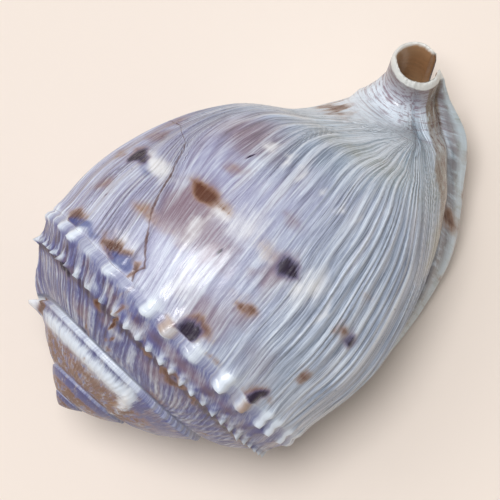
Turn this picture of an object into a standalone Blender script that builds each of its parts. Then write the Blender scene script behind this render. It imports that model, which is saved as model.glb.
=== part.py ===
"""A helmet shell, lying on its aperture: one body, a spiral loft with a hollow last whorl.

Metres, +Z up. +X runs from the apex to the siphonal canal, and the lip is on the -Y side.
Every point follows from the laws below, which give the shell in millimetres about its axis.
"""

import bmesh
import bpy
import numpy as np

OBJECT_NAME = "helmet_shell"
NODE_NAME = "shell"

# Overall placing, in millimetres and degrees
APEX_X = -89.26
AXIS_Y = 4.88
AXIS_HEIGHT = 43.0
DORSAL_FLATTENING = 0.93
MM = 0.001

# Spiral: the angle runs from +Y over the back, and grows towards the lip
LIP_ANGLE = 211.0
FIRST_ANGLE = -1129.0
COLUMNS_PER_WHORL = 64
SHOULDER_RADIUS = 51.1
SHOULDER_RADIUS_RATE = 0.0594
EARLY_ANGLE = -500.0
SPIRE_RISE = 0.66
LATE_RISE = 0.44
LATE_RADIUS = 36.0
LATE_SOFTNESS = 2.5

# Slope between the suture and the shoulder, in rows
SLOPE_ROWS = 6
LEDGE_DROP = 2.6
LEDGE_UNDERCUT = 1.3
SLOPE_BULGE = 2.3
SLOPE_BULGE_RATE = 0.009
SLOPE_NORMAL = (-0.6, 0.8)

# Body below the shoulder
BODY_ROWS = 23
BODY_LENGTH = 100.2
BODY_LENGTH_RATE = 0.083
FIRST_SHARE = 0.025
SHARE_PER_ROW = 1.1
LAST_SHARE = 0.985
PROFILE_POWER = 2.6
PROFILE_ROOT = 0.62
LEFT_BULGE = 0.078
LEFT_BULGE_END = 200.0
LEFT_BULGE_RISE = 0.25
RIGHT_BULGE = 0.05
RIGHT_BULGE_START = 60.0
RIGHT_BULGE_SPAN = 100.0
RIGHT_BULGE_CENTRE = 0.3
RIGHT_BULGE_WIDTH = 0.19

# Callus on the underside, and its free edge near the canal
CALLUS_THICKNESS = 2.4
CALLUS_START = -141.0
CALLUS_END = -42.0
CALLUS_FADE = 14.0
CALLUS_FIRST_SHARE = 0.08
CALLUS_RISE = 0.1
CALLUS_FALL = 0.15
SHIELD_EDGE = 3.5
SHIELD_ANGLE = -52.0
SHIELD_SHARE = 0.82
SHIELD_ANGLE_WIDTH = 12.0
SHIELD_SHARE_WIDTH = 0.11

# Knobs
SHOULDER_KNOB = 2.3
KNOB_DIRECTION = (-0.3, 1.0)
HOLLOW_BETWEEN_KNOBS = -0.35
SLOPE_NODULE = 0.8
NODULE_PLACE = 0.6
NODULE_WIDTH = 0.12
OLD_KNOB = 5.5
OLD_KNOB_ANGLE = -363.0
OLD_KNOB_WIDTH = 4.0

# Lip and hollow
LIP_FLARE_ROWS = (0.0, 0.1, 0.3, 0.45, 0.6, 0.7, 0.8, 0.86, 0.89, 0.93, 0.97, 1.0)
LIP_FLARE = (2.5, 4.0, 9.5, 12.0, 13.5, 13.0, 11.5, 11.0, 10.5, 6.5, 2.5, 0.0)
LIP_RISE_START = 201.5
LIP_RISE_SPAN = 9.0
LIP_GROOVE = 0.08
LIP_GROOVE_ANGLE = 200.0
LIP_GROOVE_WIDTH = 5.0
LIP_FACE_SWELL = 2.5
LIP_FACE_RISE = 0.3
LIP_SECTION = ((216.0, 1.0), (222.0, 0.78), (228.0, 0.46), (231.5, 0.02))
LIP_ROUNDING = 6.0
LIP_INNER_ANGLE = 229.0
LIP_INNER_DEPTH = 7.5
LIP_INNER_START = 0.45
LIP_INNER_RISE = 0.08
TOOTH = 1.3
TOOTH_RISE = 0.25
WALL = 3.6
SHOULDER_GAP = 0.03
HOLLOW_END_ANGLE = -40.0
HOLLOW_STEPS = 27
HOLLOW_END_PUSH = 1.5
HOLLOW_END_FADE = (0.2, 0.5)
ROOF_GAP = 0.06
ROOF_ARCH = 1.0
CORE_SHRINK = 0.06
CORE_SHRINK_STEPS = 3.0
CORE_LEVEL_STEPS = 9.0
CORE_LEVEL = (0.1, 0.6)
CORE_THINNING = 0.96
CORE_FADE = (0.4, 0.64)
CORE_SPREAD = (0.66, 0.9)

# Siphonal canal: one row a station, as share of the rows, centre x from the apex, y and z from
# the axis, half width, half height, pitch and yaw
CANAL_STATIONS = np.array(
    [
        (0.62, 122.0, -2.5, 0.0, 43.5, 40.5, 0.0, 14.0),
        (0.77, 139.0, -6.0, -3.0, 30.4, 28.0, 5.0, 17.0),
        (0.84, 151.7, -4.3, -8.0, 19.8, 18.0, 12.0, 18.0),
        (0.89, 157.5, -0.7, -10.0, 14.5, 13.0, 26.0, 21.0),
        (0.94, 164.2, 3.4, -7.0, 9.7, 9.4, 44.0, 21.0),
        (1.00, 171.2, 8.0, 3.5, 8.3, 8.3, 60.0, 20.0),
    ]
)
CANAL_BLEND = (0.62, 0.85)
CANAL_FIRST_ANGLE = -122.0
CANAL_LAST_ANGLE = 192.0
CANAL_LOW_ANGLE = 212.0
CANAL_CLIMB = (0.78, 0.98)
CANAL_WALL = 2.7

# Finish, as glossy ivory
COLOUR = (0.62, 0.58, 0.62, 1.0)
ROUGHNESS = 0.35


def smooth_step(value):
    """0 below 0, 1 above 1, and an even S between."""
    share = np.clip(value, 0.0, 1.0)
    return share * share * (3.0 - 2.0 * share)


def span_step(value, span):
    """The same S, over a span from its start to its end."""
    return smooth_step((value - span[0]) / (span[1] - span[0]))


def bell(value, centre, width):
    """A bump of height 1 about the centre."""
    return np.exp(-(((value - centre) / width) ** 2))


def shoulder_radius(angle):
    """Distance of the shoulder from the axis: even growth, and exponential on the early whorls."""
    turn_radius = SHOULDER_RADIUS + SHOULDER_RADIUS_RATE * EARLY_ANGLE
    rate = SHOULDER_RADIUS_RATE / turn_radius
    early = turn_radius * np.exp(rate * (np.minimum(angle, EARLY_ANGLE) - EARLY_ANGLE))
    return np.where(angle > EARLY_ANGLE, SHOULDER_RADIUS + SHOULDER_RADIUS_RATE * angle, early)


def shoulder_x(angle):
    """Distance of the shoulder from the apex along the axis."""
    radius = shoulder_radius(angle)
    late = LATE_SOFTNESS * np.log1p(np.exp((radius - LATE_RADIUS) / LATE_SOFTNESS))
    return SPIRE_RISE * radius + LATE_RISE * late


def on_axis(x, radius, angle):
    """Points from their cylinder coordinates about the axis."""
    turn = np.radians(angle)
    across = radius * np.cos(turn)
    up = radius * np.sin(turn) * DORSAL_FLATTENING
    return np.stack(np.broadcast_arrays(x, across, up), axis=-1)


def body_radius(angle, share):
    """Radius of the body whorl at a share of its length below the shoulder."""
    share = np.clip(share, 0.0, LAST_SHARE)
    profile = (1.0 - share**PROFILE_POWER) ** PROFILE_ROOT
    fading = np.clip(1.0 - angle / LEFT_BULGE_END, 0.0, 1.0)
    growing = smooth_step((angle - RIGHT_BULGE_START) / RIGHT_BULGE_SPAN)
    left = LEFT_BULGE * fading * smooth_step(share / LEFT_BULGE_RISE)
    right = RIGHT_BULGE * growing * bell(share, RIGHT_BULGE_CENTRE, RIGHT_BULGE_WIDTH)
    return shoulder_radius(angle) * profile * (1.0 + left + right)


def body_x(angle, share):
    """Distance from the apex of the same point."""
    return shoulder_x(angle) + (BODY_LENGTH + BODY_LENGTH_RATE * angle) * share


def callus(angle, share):
    """The thin shield spread on the underside, with its free edge near the canal."""
    rise = smooth_step((angle - CALLUS_START) / CALLUS_FADE)
    fall = smooth_step((CALLUS_END - angle) / CALLUS_FADE)
    along = smooth_step((share - CALLUS_FIRST_SHARE) / CALLUS_RISE)
    along = along * smooth_step((1.0 - share) / CALLUS_FALL)
    edge = bell(angle, SHIELD_ANGLE, SHIELD_ANGLE_WIDTH)
    edge = edge * bell(share, SHIELD_SHARE, SHIELD_SHARE_WIDTH)
    return CALLUS_THICKNESS * rise * fall * along + SHIELD_EDGE * edge


def flare_size(rows):
    """How far the lip's edge turns outward, along the rows."""
    return np.interp(rows, LIP_FLARE_ROWS, LIP_FLARE)


def lip_flare(angle, rows):
    """The turned-out lip and the groove behind it, as a distance from the body."""
    rise = smooth_step((angle - LIP_RISE_START) / LIP_RISE_SPAN)
    groove = LIP_GROOVE * bell(angle, LIP_GROOVE_ANGLE, LIP_GROOVE_WIDTH)
    return flare_size(rows) * (rise - groove)


def canal_points(rows, angle, inset):
    """Points on the tilted slices that carry the body into the canal."""
    values = [np.interp(rows, CANAL_STATIONS[:, 0], column) for column in CANAL_STATIONS.T[1:]]
    x, y, z, half_width, half_height, pitch, yaw = values
    pitch, yaw, turn = np.radians(pitch), np.radians(yaw), np.radians(angle)
    none = np.zeros_like(yaw)
    ahead = np.stack([np.cos(pitch) * np.cos(yaw), np.cos(pitch) * np.sin(yaw), np.sin(pitch)], -1)
    side = np.stack([-np.sin(yaw), np.cos(yaw), none], -1)
    up = np.cross(ahead, side)
    centre = np.stack([x, y, z], -1)
    across = ((half_width - inset) * np.cos(turn))[..., None] * side
    return centre + across + ((half_height - inset) * np.sin(turn))[..., None] * up


def last_angle(rows):
    """Angle of the lip on a canal slice: it climbs towards the tip."""
    climb = span_step(rows, CANAL_CLIMB)
    return CANAL_LOW_ANGLE + (CANAL_LAST_ANGLE - CANAL_LOW_ANGLE) * climb


def canal_angle(angle, rows):
    """Angle on a canal slice for an angle on the body: the slices leave a slot open."""
    share = (angle - LIP_ANGLE + 360.0) / 360.0
    return CANAL_FIRST_ANGLE + (last_angle(rows) - CANAL_FIRST_ANGLE) * share


def blended(rows, body, canal):
    """Body points that turn into canal points along the rows."""
    weight = span_step(rows, CANAL_BLEND)[..., None]
    return body * (1.0 - weight) + canal * weight


def body_share(rows):
    """Share of the body's length for a share of its rows."""
    return np.minimum(FIRST_SHARE + SHARE_PER_ROW * rows, LAST_SHARE)


def outer_grid(angles, rows):
    """Outer face of the last whorl below the shoulder, columns by rows."""
    angle, row = np.meshgrid(angles, rows, indexing="ij")
    share, flare = body_share(row), lip_flare(angle, row)
    radius = body_radius(angle, share) + callus(angle, share) + flare
    body = on_axis(body_x(angle, share), radius, angle)
    return blended(row, body, canal_points(row, canal_angle(angle, row), -flare))


def slope_grid(angles, sutures):
    """Rows between the suture and the shoulder, with a ledge under the shoulder."""
    radius = shoulder_radius(angles)
    column = np.arange(len(angles))
    crest = np.where(column % 2 == 0, 1.0, HOLLOW_BETWEEN_KNOBS)
    size = radius / SHOULDER_RADIUS
    knob = SHOULDER_KNOB * crest * np.clip(size, 0.0, 1.0)
    knob = knob + OLD_KNOB * bell(angles, OLD_KNOB_ANGLE, OLD_KNOB_WIDTH)
    shoulder = on_axis(shoulder_x(angles), radius, angles)
    normal = on_axis(*SLOPE_NORMAL, angles)
    bulge = (SLOPE_BULGE + SLOPE_BULGE_RATE * np.maximum(angles, 0.0)) * size
    grid = np.zeros((len(angles), SLOPE_ROWS + 1, 3))
    for row in range(SLOPE_ROWS):
        share = row / (SLOPE_ROWS - 1)
        swell = 4.0 * share * (1.0 - share) * bulge
        nodule = SLOPE_NODULE * crest * size * bell(share, NODULE_PLACE, NODULE_WIDTH)
        line = sutures * (1.0 - share) + shoulder * share
        grid[:, row] = line + normal * (swell + nodule)[:, None]
    grid[:, SLOPE_ROWS - 1] += on_axis(*KNOB_DIRECTION, angles) * knob[:, None]
    ledge = shoulder_x(angles) + LEDGE_DROP * np.clip(size, 0.0, 1.0)
    grid[:, SLOPE_ROWS] = on_axis(ledge, radius - LEDGE_UNDERCUT * size, angles)
    return grid


def hollow_grid(rows, parietal):
    """Inner face: back along the outer wall to the blind end, and out again along the core."""
    steps = HOLLOW_STEPS
    share = body_share(rows)
    inner = []
    start = LIP_INNER_START + (1.0 - LIP_INNER_START) * smooth_step(rows / LIP_INNER_RISE)
    for step in range(steps + 1):
        angle = LIP_INNER_ANGLE + (HOLLOW_END_ANGLE - LIP_INNER_ANGLE) * step / steps
        depth = WALL + (LIP_INNER_DEPTH - WALL) * np.exp(-step) * start
        below = share + SHOULDER_GAP * (1.0 - share)
        tooth = TOOTH * (np.arange(len(rows)) % 2) * (step == 0) * smooth_step(rows / TOOTH_RISE)
        radius = body_radius(angle, below) - depth - tooth
        body = on_axis(body_x(angle, below), radius, angle)
        turn = canal_angle(min(angle, LIP_ANGLE), rows)
        inner.append(blended(rows, body, canal_points(rows, turn, CANAL_WALL)))
    core = []
    thin = 1.0 - CORE_THINNING * span_step(rows, CORE_FADE)
    spread = span_step(rows, CORE_SPREAD)
    half_width = np.interp(rows, CANAL_STATIONS[:, 0], CANAL_STATIONS[:, 4])
    for step in range(steps, -1, -1):
        angle = LIP_ANGLE - 360.0 + (HOLLOW_END_ANGLE - LIP_ANGLE) * step / steps
        ease = smooth_step(step / CORE_SHRINK_STEPS)
        below = share + ROOF_GAP * (1.0 - share) * ease
        own_x, outer_x = body_x(angle, below), body_x(angle + 360.0, below)
        level = smooth_step(step / CORE_LEVEL_STEPS) * span_step(share, CORE_LEVEL)
        radius = body_radius(angle, below) * (1.0 - CORE_SHRINK * ease)
        radius = radius * (1.0 + (thin - 1.0) * ease)
        body = on_axis(own_x + (outer_x - own_x) * level, radius, angle)
        back = canal_angle(HOLLOW_END_ANGLE, rows)
        turn = CANAL_FIRST_ANGLE + (back - CANAL_FIRST_ANGLE) * (step + 0.5) / (steps + 1.0)
        inset = half_width + (CANAL_WALL - half_width) * spread
        canal = canal_points(rows, turn, inset * ease)
        core.append(blended(rows, body, canal))
    core[-1] = parietal
    middle = 0.5 * (inner[-1] + core[0])
    back = on_axis(0.0, HOLLOW_END_PUSH, HOLLOW_END_ANGLE - 90.0)
    end = middle + back * (1.0 - span_step(rows, HOLLOW_END_FADE))[:, None]
    return np.stack(inner + [end] + core)


def lip_columns(rows, outer_edge, inner_edge):
    """The lip's face between its outer edge and its toothed inner edge, below the shoulder."""
    share, flare = body_share(rows), flare_size(rows)
    columns = [outer_edge]
    count = len(LIP_SECTION) + 1
    for number, (angle, rise) in enumerate(LIP_SECTION, start=1):
        radius = body_radius(LIP_ANGLE, share) + rise * flare
        body = on_axis(body_x(LIP_ANGLE, share), radius, angle)
        inset = CANAL_WALL * number / count - flare * rise
        turn = last_angle(rows) + LIP_ROUNDING * np.sin(np.pi * number / count)
        columns.append(blended(rows, body, canal_points(rows, turn, inset)))
    columns.append(inner_edge)
    return np.stack(columns)


class Skin:
    """Collects the points and faces of one closed surface."""

    def __init__(self):
        self.points = []
        self.faces = []

    def add(self, points):
        """Stores an array of points, and gives back their numbers in the same layout."""
        flat = points.reshape(-1, 3)
        first = len(self.points)
        self.points.extend(flat.tolist())
        return np.arange(first, first + len(flat)).reshape(points.shape[:-1])

    def face(self, corners):
        """Keeps a face without its repeated corners, and drops one that has collapsed."""
        kept = [c for n, c in enumerate(corners) if c != corners[n - 1]]
        if len(set(kept)) > 2:
            self.faces.append(kept)

    def grid(self, numbers):
        """Faces over a grid of point numbers, columns by rows."""
        for i in range(numbers.shape[0] - 1):
            for j in range(numbers.shape[1] - 1):
                ahead = numbers[i + 1]
                self.face([int(numbers[i, j]), int(ahead[j]), int(ahead[j + 1]), int(numbers[i, j + 1])])

    def zipper(self, first, first_turns, second, second_turns):
        """Faces between two chains that start at one point, side by side in angle."""
        a, b = 0, 0
        while a < len(first) - 1 or b < len(second) - 1:
            more_a, more_b = a < len(first) - 1, b < len(second) - 1
            if not more_b or (more_a and first_turns[a + 1] <= second_turns[b + 1]):
                self.face([first[a], first[a + 1], second[b]])
                a += 1
            else:
                self.face([first[a], second[b + 1], second[b]])
                b += 1


def build_skin():
    """The whole surface, as points and faces."""
    skin = Skin()
    whorl = COLUMNS_PER_WHORL
    count = int(round((LIP_ANGLE - FIRST_ANGLE) / 360.0 * whorl))
    angles = LIP_ANGLE + (np.arange(count + 1) - count) * 360.0 / whorl
    apex = skin.add(np.zeros((1, 3)))[0]
    numbers = np.full((count + 1, SLOPE_ROWS + 1), apex)

    # Spire and shoulder: each whorl starts on the ledge of the one before
    ledge = slope_grid(angles, np.zeros((count + 1, 3)))[:, SLOPE_ROWS]
    sutures = np.vstack([np.zeros((whorl, 3)), ledge[: count + 1 - whorl]])
    slope = slope_grid(angles, sutures)
    numbers[1:, 1:] = skin.add(slope[1:, 1:])
    numbers[0, SLOPE_ROWS] = skin.add(slope[:1, SLOPE_ROWS])[0]
    numbers[whorl:, 0] = numbers[: count + 1 - whorl, SLOPE_ROWS]
    skin.grid(numbers)

    # Last whorl below the shoulder
    rows = np.linspace(0.0, 1.0, BODY_ROWS + 1)
    start = count - whorl
    outer = outer_grid(angles[start:], rows)
    outer[:, 0] = slope[start:, SLOPE_ROWS]
    outer_numbers = np.zeros(outer.shape[:2], int)
    outer_numbers[:, 0] = numbers[start:, SLOPE_ROWS]
    outer_numbers[:, 1:] = skin.add(outer[:, 1:])
    skin.grid(outer_numbers)

    # Hollow, lip and the roof of the hollow
    inner = hollow_grid(rows, outer[0])
    inner_numbers = np.zeros(inner.shape[:2], int)
    inner_numbers[:-1] = skin.add(inner[:-1])
    inner_numbers[-1] = outer_numbers[0]
    skin.grid(inner_numbers)
    steps = HOLLOW_STEPS
    roof = np.zeros((steps + 1, SLOPE_ROWS + 1), int)
    arch = ROOF_ARCH * on_axis(0.0, 1.0, np.linspace(LIP_ANGLE, HOLLOW_END_ANGLE, steps + 1))
    for row in range(SLOPE_ROWS + 1):
        share = row / SLOPE_ROWS
        line = inner[: steps + 1, 0] * share + inner[::-1][: steps + 1, 0] * (1.0 - share)
        line = line + arch * np.sin(np.pi * share)
        if row == 0:
            roof[:, row] = inner_numbers[::-1][: steps + 1, 0]
        elif row == SLOPE_ROWS:
            roof[:, row] = inner_numbers[: steps + 1, 0]
        else:
            roof[:, row] = skin.add(line)
    skin.grid(roof)
    end = int(inner_numbers[steps + 1, 0])
    for row in range(SLOPE_ROWS):
        skin.face([int(roof[-1, row]), end, int(roof[-1, row + 1])])

    lip = lip_columns(rows, outer[-1], inner[0])
    lip_numbers = np.zeros(lip.shape[:2], int)
    lip_numbers[1:-1] = skin.add(lip[1:-1])
    lip_numbers[0] = outer_numbers[-1]
    lip_numbers[-1] = inner_numbers[0]
    skin.grid(lip_numbers)
    points = np.array(skin.points)
    face_rows = np.zeros((len(LIP_SECTION) + 2, SLOPE_ROWS + 1), int)
    face_rows[0] = numbers[-1]
    face_rows[-1] = roof[0]
    face_rows[:, -1] = lip_numbers[:, 0]
    face_rows[:, 0] = numbers[-1, 0]
    outer_line = points[face_rows[0, 1:-1]]
    inner_line = points[face_rows[-1, 1:-1]]
    for number in range(1, len(LIP_SECTION) + 1):
        share = number / (len(LIP_SECTION) + 1)
        swell = 4.0 * share * (1.0 - share) * np.linspace(LIP_FACE_RISE, 1.0, SLOPE_ROWS - 1)
        push = on_axis(0.0, LIP_FACE_SWELL, LIP_ANGLE + 90.0)
        line = outer_line * (1.0 - share) + inner_line * share + swell[:, None] * push
        face_rows[number, 1:-1] = skin.add(line)
    skin.grid(face_rows)

    # Rim of the canal
    half = (len(LIP_SECTION) + 2) // 2
    outside = list(outer_numbers[:, -1]) + list(lip_numbers[1:half, -1])
    inside = list(inner_numbers[::-1, -1]) + list(lip_numbers[half:-1, -1][::-1])
    outside_turns = np.linspace(0.0, 1.0, len(outside))
    tail = CANAL_LAST_ANGLE - CANAL_FIRST_ANGLE
    back = canal_angle(HOLLOW_END_ANGLE, 1.0) - CANAL_FIRST_ANGLE
    inside_turns = np.concatenate(
        [np.linspace(0.0, back, steps + 2), np.linspace(back, tail, len(inside) - steps - 2)]
    )
    skin.zipper(
        [int(n) for n in outside], outside_turns * tail, [int(n) for n in inside], inside_turns
    )
    return np.array(skin.points), skin.faces


def placed(points):
    """Points set on the ground plane, in metres."""
    out = points + np.array([APEX_X, AXIS_Y, AXIS_HEIGHT])
    out[:, 2] = np.maximum(out[:, 2], 0.0)
    return out * MM


def make_material():
    material = bpy.data.materials.new("glazed shell")
    material.use_nodes = True
    shader = material.node_tree.nodes["Principled BSDF"]
    shader.inputs["Base Color"].default_value = COLOUR
    shader.inputs["Roughness"].default_value = ROUGHNESS
    shader.inputs["Metallic"].default_value = 0.0
    return material


def clear_scene():
    for item in list(bpy.data.objects):
        bpy.data.objects.remove(item, do_unlink=True)


def build():
    clear_scene()
    points, faces = build_skin()
    mesh = bpy.data.meshes.new(NODE_NAME)
    mesh.from_pydata(placed(points).tolist(), [], faces)
    shape = bmesh.new()
    shape.from_mesh(mesh)
    bmesh.ops.triangulate(shape, faces=shape.faces, quad_method="SHORT_EDGE")
    shape.to_mesh(mesh)
    shape.free()
    mesh.shade_smooth()
    mesh.materials.append(make_material())
    shell = bpy.data.objects.new(NODE_NAME, mesh)
    collection = bpy.data.collections.new(OBJECT_NAME)
    bpy.context.scene.collection.children.link(collection)
    collection.objects.link(shell)


build()
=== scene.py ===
"""Looks of the helmet shell: its fine surface, colours, floor, light and camera.

Lengths inside the shell's own laws are millimetres about its axis, and angles are degrees.
The angle starts at +Y, runs over the back, and grows towards the lip. A row runs from the
shoulder (0) to the rim of the siphonal canal (1).
"""

import logging
from dataclasses import dataclass, field
from enum import Enum

import bpy
import numpy as np
from mathutils import Matrix, Vector


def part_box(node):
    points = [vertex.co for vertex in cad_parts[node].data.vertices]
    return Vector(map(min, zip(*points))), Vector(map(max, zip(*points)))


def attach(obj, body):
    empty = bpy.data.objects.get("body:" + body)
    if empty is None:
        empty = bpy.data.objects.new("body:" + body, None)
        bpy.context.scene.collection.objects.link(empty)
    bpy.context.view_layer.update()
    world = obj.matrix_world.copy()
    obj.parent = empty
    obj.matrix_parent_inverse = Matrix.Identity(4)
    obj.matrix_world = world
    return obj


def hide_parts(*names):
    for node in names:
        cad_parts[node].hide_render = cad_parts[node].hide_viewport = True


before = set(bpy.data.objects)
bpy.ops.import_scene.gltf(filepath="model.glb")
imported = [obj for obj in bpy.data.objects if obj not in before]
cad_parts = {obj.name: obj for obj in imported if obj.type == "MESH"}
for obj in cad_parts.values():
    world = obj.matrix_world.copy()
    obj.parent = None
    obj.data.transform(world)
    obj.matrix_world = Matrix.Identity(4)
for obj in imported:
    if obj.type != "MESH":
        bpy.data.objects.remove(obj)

logging.basicConfig(level=logging.INFO, format="%(message)s")
log = logging.getLogger("helmet_shell")

MM = 0.001
FULL_TURN = 2.0 * np.pi
LATTICE_LENGTH = 4096
LATTICE_SIDE = 256


def smooth_step(value: np.ndarray) -> np.ndarray:
    """Gives an S curve: 0 below 0, 1 above 1, and 3v^2 - 2v^3 between.

    Args:
        value: Where on the curve, of any shape.

    Returns:
        The height of the curve, in the shape of the input.
    """
    share = np.clip(value, 0.0, 1.0)
    return share * share * (3.0 - 2.0 * share)


def bell(value: np.ndarray, centre: float, width: float) -> np.ndarray:
    """Gives a bump of height 1: e to the minus square of the distance over the width.

    Args:
        value: Where to read the bump.
        centre: Where the bump is highest.
        width: Distance at which it has fallen to 0.37.

    Returns:
        The height of the bump.
    """
    return np.exp(-(((value - centre) / width) ** 2))


def soft_limit(value: np.ndarray, low: np.ndarray, high: np.ndarray, soft: float) -> np.ndarray:
    """Keeps values between two limits: each limit is met along s log(1 + e^(gap / s)).

    Args:
        value: The values.
        low: Lowest value allowed.
        high: Highest value allowed.
        soft: Distance from a limit at which it is felt.

    Returns:
        The limited values.
    """
    value = high - soft * np.logaddexp(0.0, (high - value) / soft)
    return low + soft * np.logaddexp(0.0, (value - low) / soft)


def lattice(value: np.ndarray, seed: int) -> np.ndarray:
    """Gives smooth noise in one direction: seeded random heights a unit apart, joined by S curves.

    Args:
        value: Position along the lattice.
        seed: Seed of the heights.

    Returns:
        Noise from 0 to 1.
    """
    heights = np.random.default_rng(seed).random(LATTICE_LENGTH)
    cell = np.floor(value).astype(int)
    share = smooth_step(value - cell)
    low, high = heights[cell % LATTICE_LENGTH], heights[(cell + 1) % LATTICE_LENGTH]
    return low * (1.0 - share) + high * share


def lattice_2d(first: np.ndarray, second: np.ndarray, seed: int) -> np.ndarray:
    """Gives smooth noise on a surface: seeded heights on a square lattice, joined by S curves.

    Args:
        first: Position along the first direction.
        second: Position along the second direction.
        seed: Seed of the heights.

    Returns:
        Noise from 0 to 1.
    """
    heights = np.random.default_rng(seed).random((LATTICE_SIDE, LATTICE_SIDE))
    a, b = np.floor(first).astype(int), np.floor(second).astype(int)
    u, v = smooth_step(first - a), smooth_step(second - b)
    a, after_a = a % LATTICE_SIDE, (a + 1) % LATTICE_SIDE
    b, after_b = b % LATTICE_SIDE, (b + 1) % LATTICE_SIDE
    low = heights[a, b] * (1.0 - u) + heights[after_a, b] * u
    high = heights[a, after_b] * (1.0 - u) + heights[after_a, after_b] * u
    return low * (1.0 - v) + high * v


@dataclass(frozen=True)
class Growth:
    """The laws of the spiral, as in the shell's solid."""

    apex_x: float = -89.26
    axis_y: float = 4.88
    axis_height: float = 43.0
    flattening: float = 0.93
    lip_angle: float = 211.0
    shoulder: float = 51.1
    shoulder_rate: float = 0.0594
    early_angle: float = -500.0
    spire_rise: float = 0.66
    late_rise: float = 0.44
    late_radius: float = 36.0
    late_softness: float = 2.5
    body_length: float = 100.2
    body_length_rate: float = 0.083
    profile_power: float = 2.6
    profile_root: float = 0.62
    last_share: float = 0.985
    left_bulge: float = 0.078
    left_bulge_end: float = 200.0
    left_bulge_rise: float = 0.25
    right_bulge: float = 0.05
    right_bulge_start: float = 60.0
    right_bulge_span: float = 100.0
    right_bulge_share: float = 0.3
    right_bulge_length: float = 0.19
    callus_thickness: float = 2.4
    callus_start: float = -141.0
    callus_end: float = -42.0
    callus_fade: float = 14.0
    shield_edge: float = 3.5
    shield_angle: float = -52.0
    shield_width: float = 12.0
    shield_share: float = 0.82
    shield_length: float = 0.11
    flare_start: float = 201.5
    flare_span: float = 9.0
    flare_rows: tuple = (0.0, 0.1, 0.3, 0.45, 0.6, 0.7, 0.8, 0.86, 0.89, 0.93, 0.97, 1.0)
    flare: tuple = (2.5, 4.0, 9.5, 12.0, 13.5, 13.0, 11.5, 11.0, 10.5, 6.5, 2.5, 0.0)
    groove: float = 0.08
    groove_angle: float = 200.0
    groove_width: float = 5.0
    canal_blend: tuple = (0.62, 0.85)
    canal_climb_start: float = 0.78
    canal_climb_span: float = 0.2
    canal_first_angle: float = -122.0
    canal_last_angle: float = 192.0
    canal_low_angle: float = 212.0
    canal_stations: tuple = (
        (0.62, 122.0, -2.5, 0.0, 43.5, 40.5, 0.0, 14.0),
        (0.77, 139.0, -6.0, -3.0, 30.4, 28.0, 5.0, 17.0),
        (0.84, 151.7, -4.3, -8.0, 19.8, 18.0, 12.0, 18.0),
        (0.89, 157.5, -0.7, -10.0, 14.5, 13.0, 26.0, 21.0),
        (0.94, 164.2, 3.4, -7.0, 9.7, 9.4, 44.0, 21.0),
        (1.00, 171.2, 8.0, 3.5, 9.2, 8.8, 60.0, 20.0),
    )

    def shoulder_radius(self, angle: np.ndarray) -> np.ndarray:
        """Distance of the shoulder from the axis: straight growth, exponential on early whorls.

        Args:
            angle: Angle of growth.

        Returns:
            The radius there.
        """
        turn_radius = self.shoulder + self.shoulder_rate * self.early_angle
        rate = self.shoulder_rate / turn_radius
        early = turn_radius * np.exp(rate * (np.minimum(angle, self.early_angle) - self.early_angle))
        return np.where(angle > self.early_angle, self.shoulder + self.shoulder_rate * angle, early)

    def shoulder_x(self, angle: np.ndarray) -> np.ndarray:
        """Distance of the shoulder from the apex: a straight rise that steepens past a radius.

        Args:
            angle: Angle of growth.

        Returns:
            The distance along the axis.
        """
        radius = self.shoulder_radius(angle)
        late = np.log1p(np.exp((radius - self.late_radius) / self.late_softness))
        return self.spire_rise * radius + self.late_rise * self.late_softness * late

    def on_axis(self, x: np.ndarray, radius: np.ndarray, angle: np.ndarray) -> np.ndarray:
        """Turns cylinder coordinates into points: y is r cos a, and z is flattened r sin a.

        Args:
            x: Distance along the axis.
            radius: Distance from the axis.
            angle: Angle about the axis.

        Returns:
            Points, with x, y and z last.
        """
        turn = np.radians(angle)
        across = radius * np.cos(turn)
        up = radius * np.sin(turn) * self.flattening
        return np.stack(np.broadcast_arrays(x, across, up), axis=-1)

    def body_radius(self, angle: np.ndarray, share: np.ndarray) -> np.ndarray:
        """Radius of the body whorl: the shoulder's, times (1 - s^2.6)^0.62, times its bulges.

        Args:
            angle: Angle of growth.
            share: Share of the body's length, from the shoulder.

        Returns:
            The radius there.
        """
        share = np.clip(share, 0.0, self.last_share)
        profile = (1.0 - share**self.profile_power) ** self.profile_root
        left = self.left_bulge * np.clip(1.0 - angle / self.left_bulge_end, 0.0, 1.0)
        left = left * smooth_step(share / self.left_bulge_rise)
        right = self.right_bulge * smooth_step((angle - self.right_bulge_start) / self.right_bulge_span)
        right = right * bell(share, self.right_bulge_share, self.right_bulge_length)
        return self.shoulder_radius(angle) * profile * (1.0 + left + right)

    def body_x(self, angle: np.ndarray, share: np.ndarray) -> np.ndarray:
        """Distance from the apex of a point of the body whorl.

        Args:
            angle: Angle of growth.
            share: Share of the body's length, from the shoulder.

        Returns:
            The distance along the axis.
        """
        return self.shoulder_x(angle) + (self.body_length + self.body_length_rate * angle) * share

    def callus(self, angle: np.ndarray, share: np.ndarray) -> np.ndarray:
        """Thickness of the shield spread on the underside, with its free edge near the canal.

        Args:
            angle: Angle of growth.
            share: Share of the body's length, from the shoulder.

        Returns:
            The thickness added to the radius.
        """
        spread = smooth_step((angle - self.callus_start) / self.callus_fade)
        spread = spread * smooth_step((self.callus_end - angle) / self.callus_fade)
        along = smooth_step((share - 0.08) / 0.1) * smooth_step((1.0 - share) / 0.15)
        edge = bell(angle, self.shield_angle, self.shield_width)
        edge = edge * bell(share, self.shield_share, self.shield_length)
        return self.callus_thickness * spread * along + self.shield_edge * edge

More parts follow.
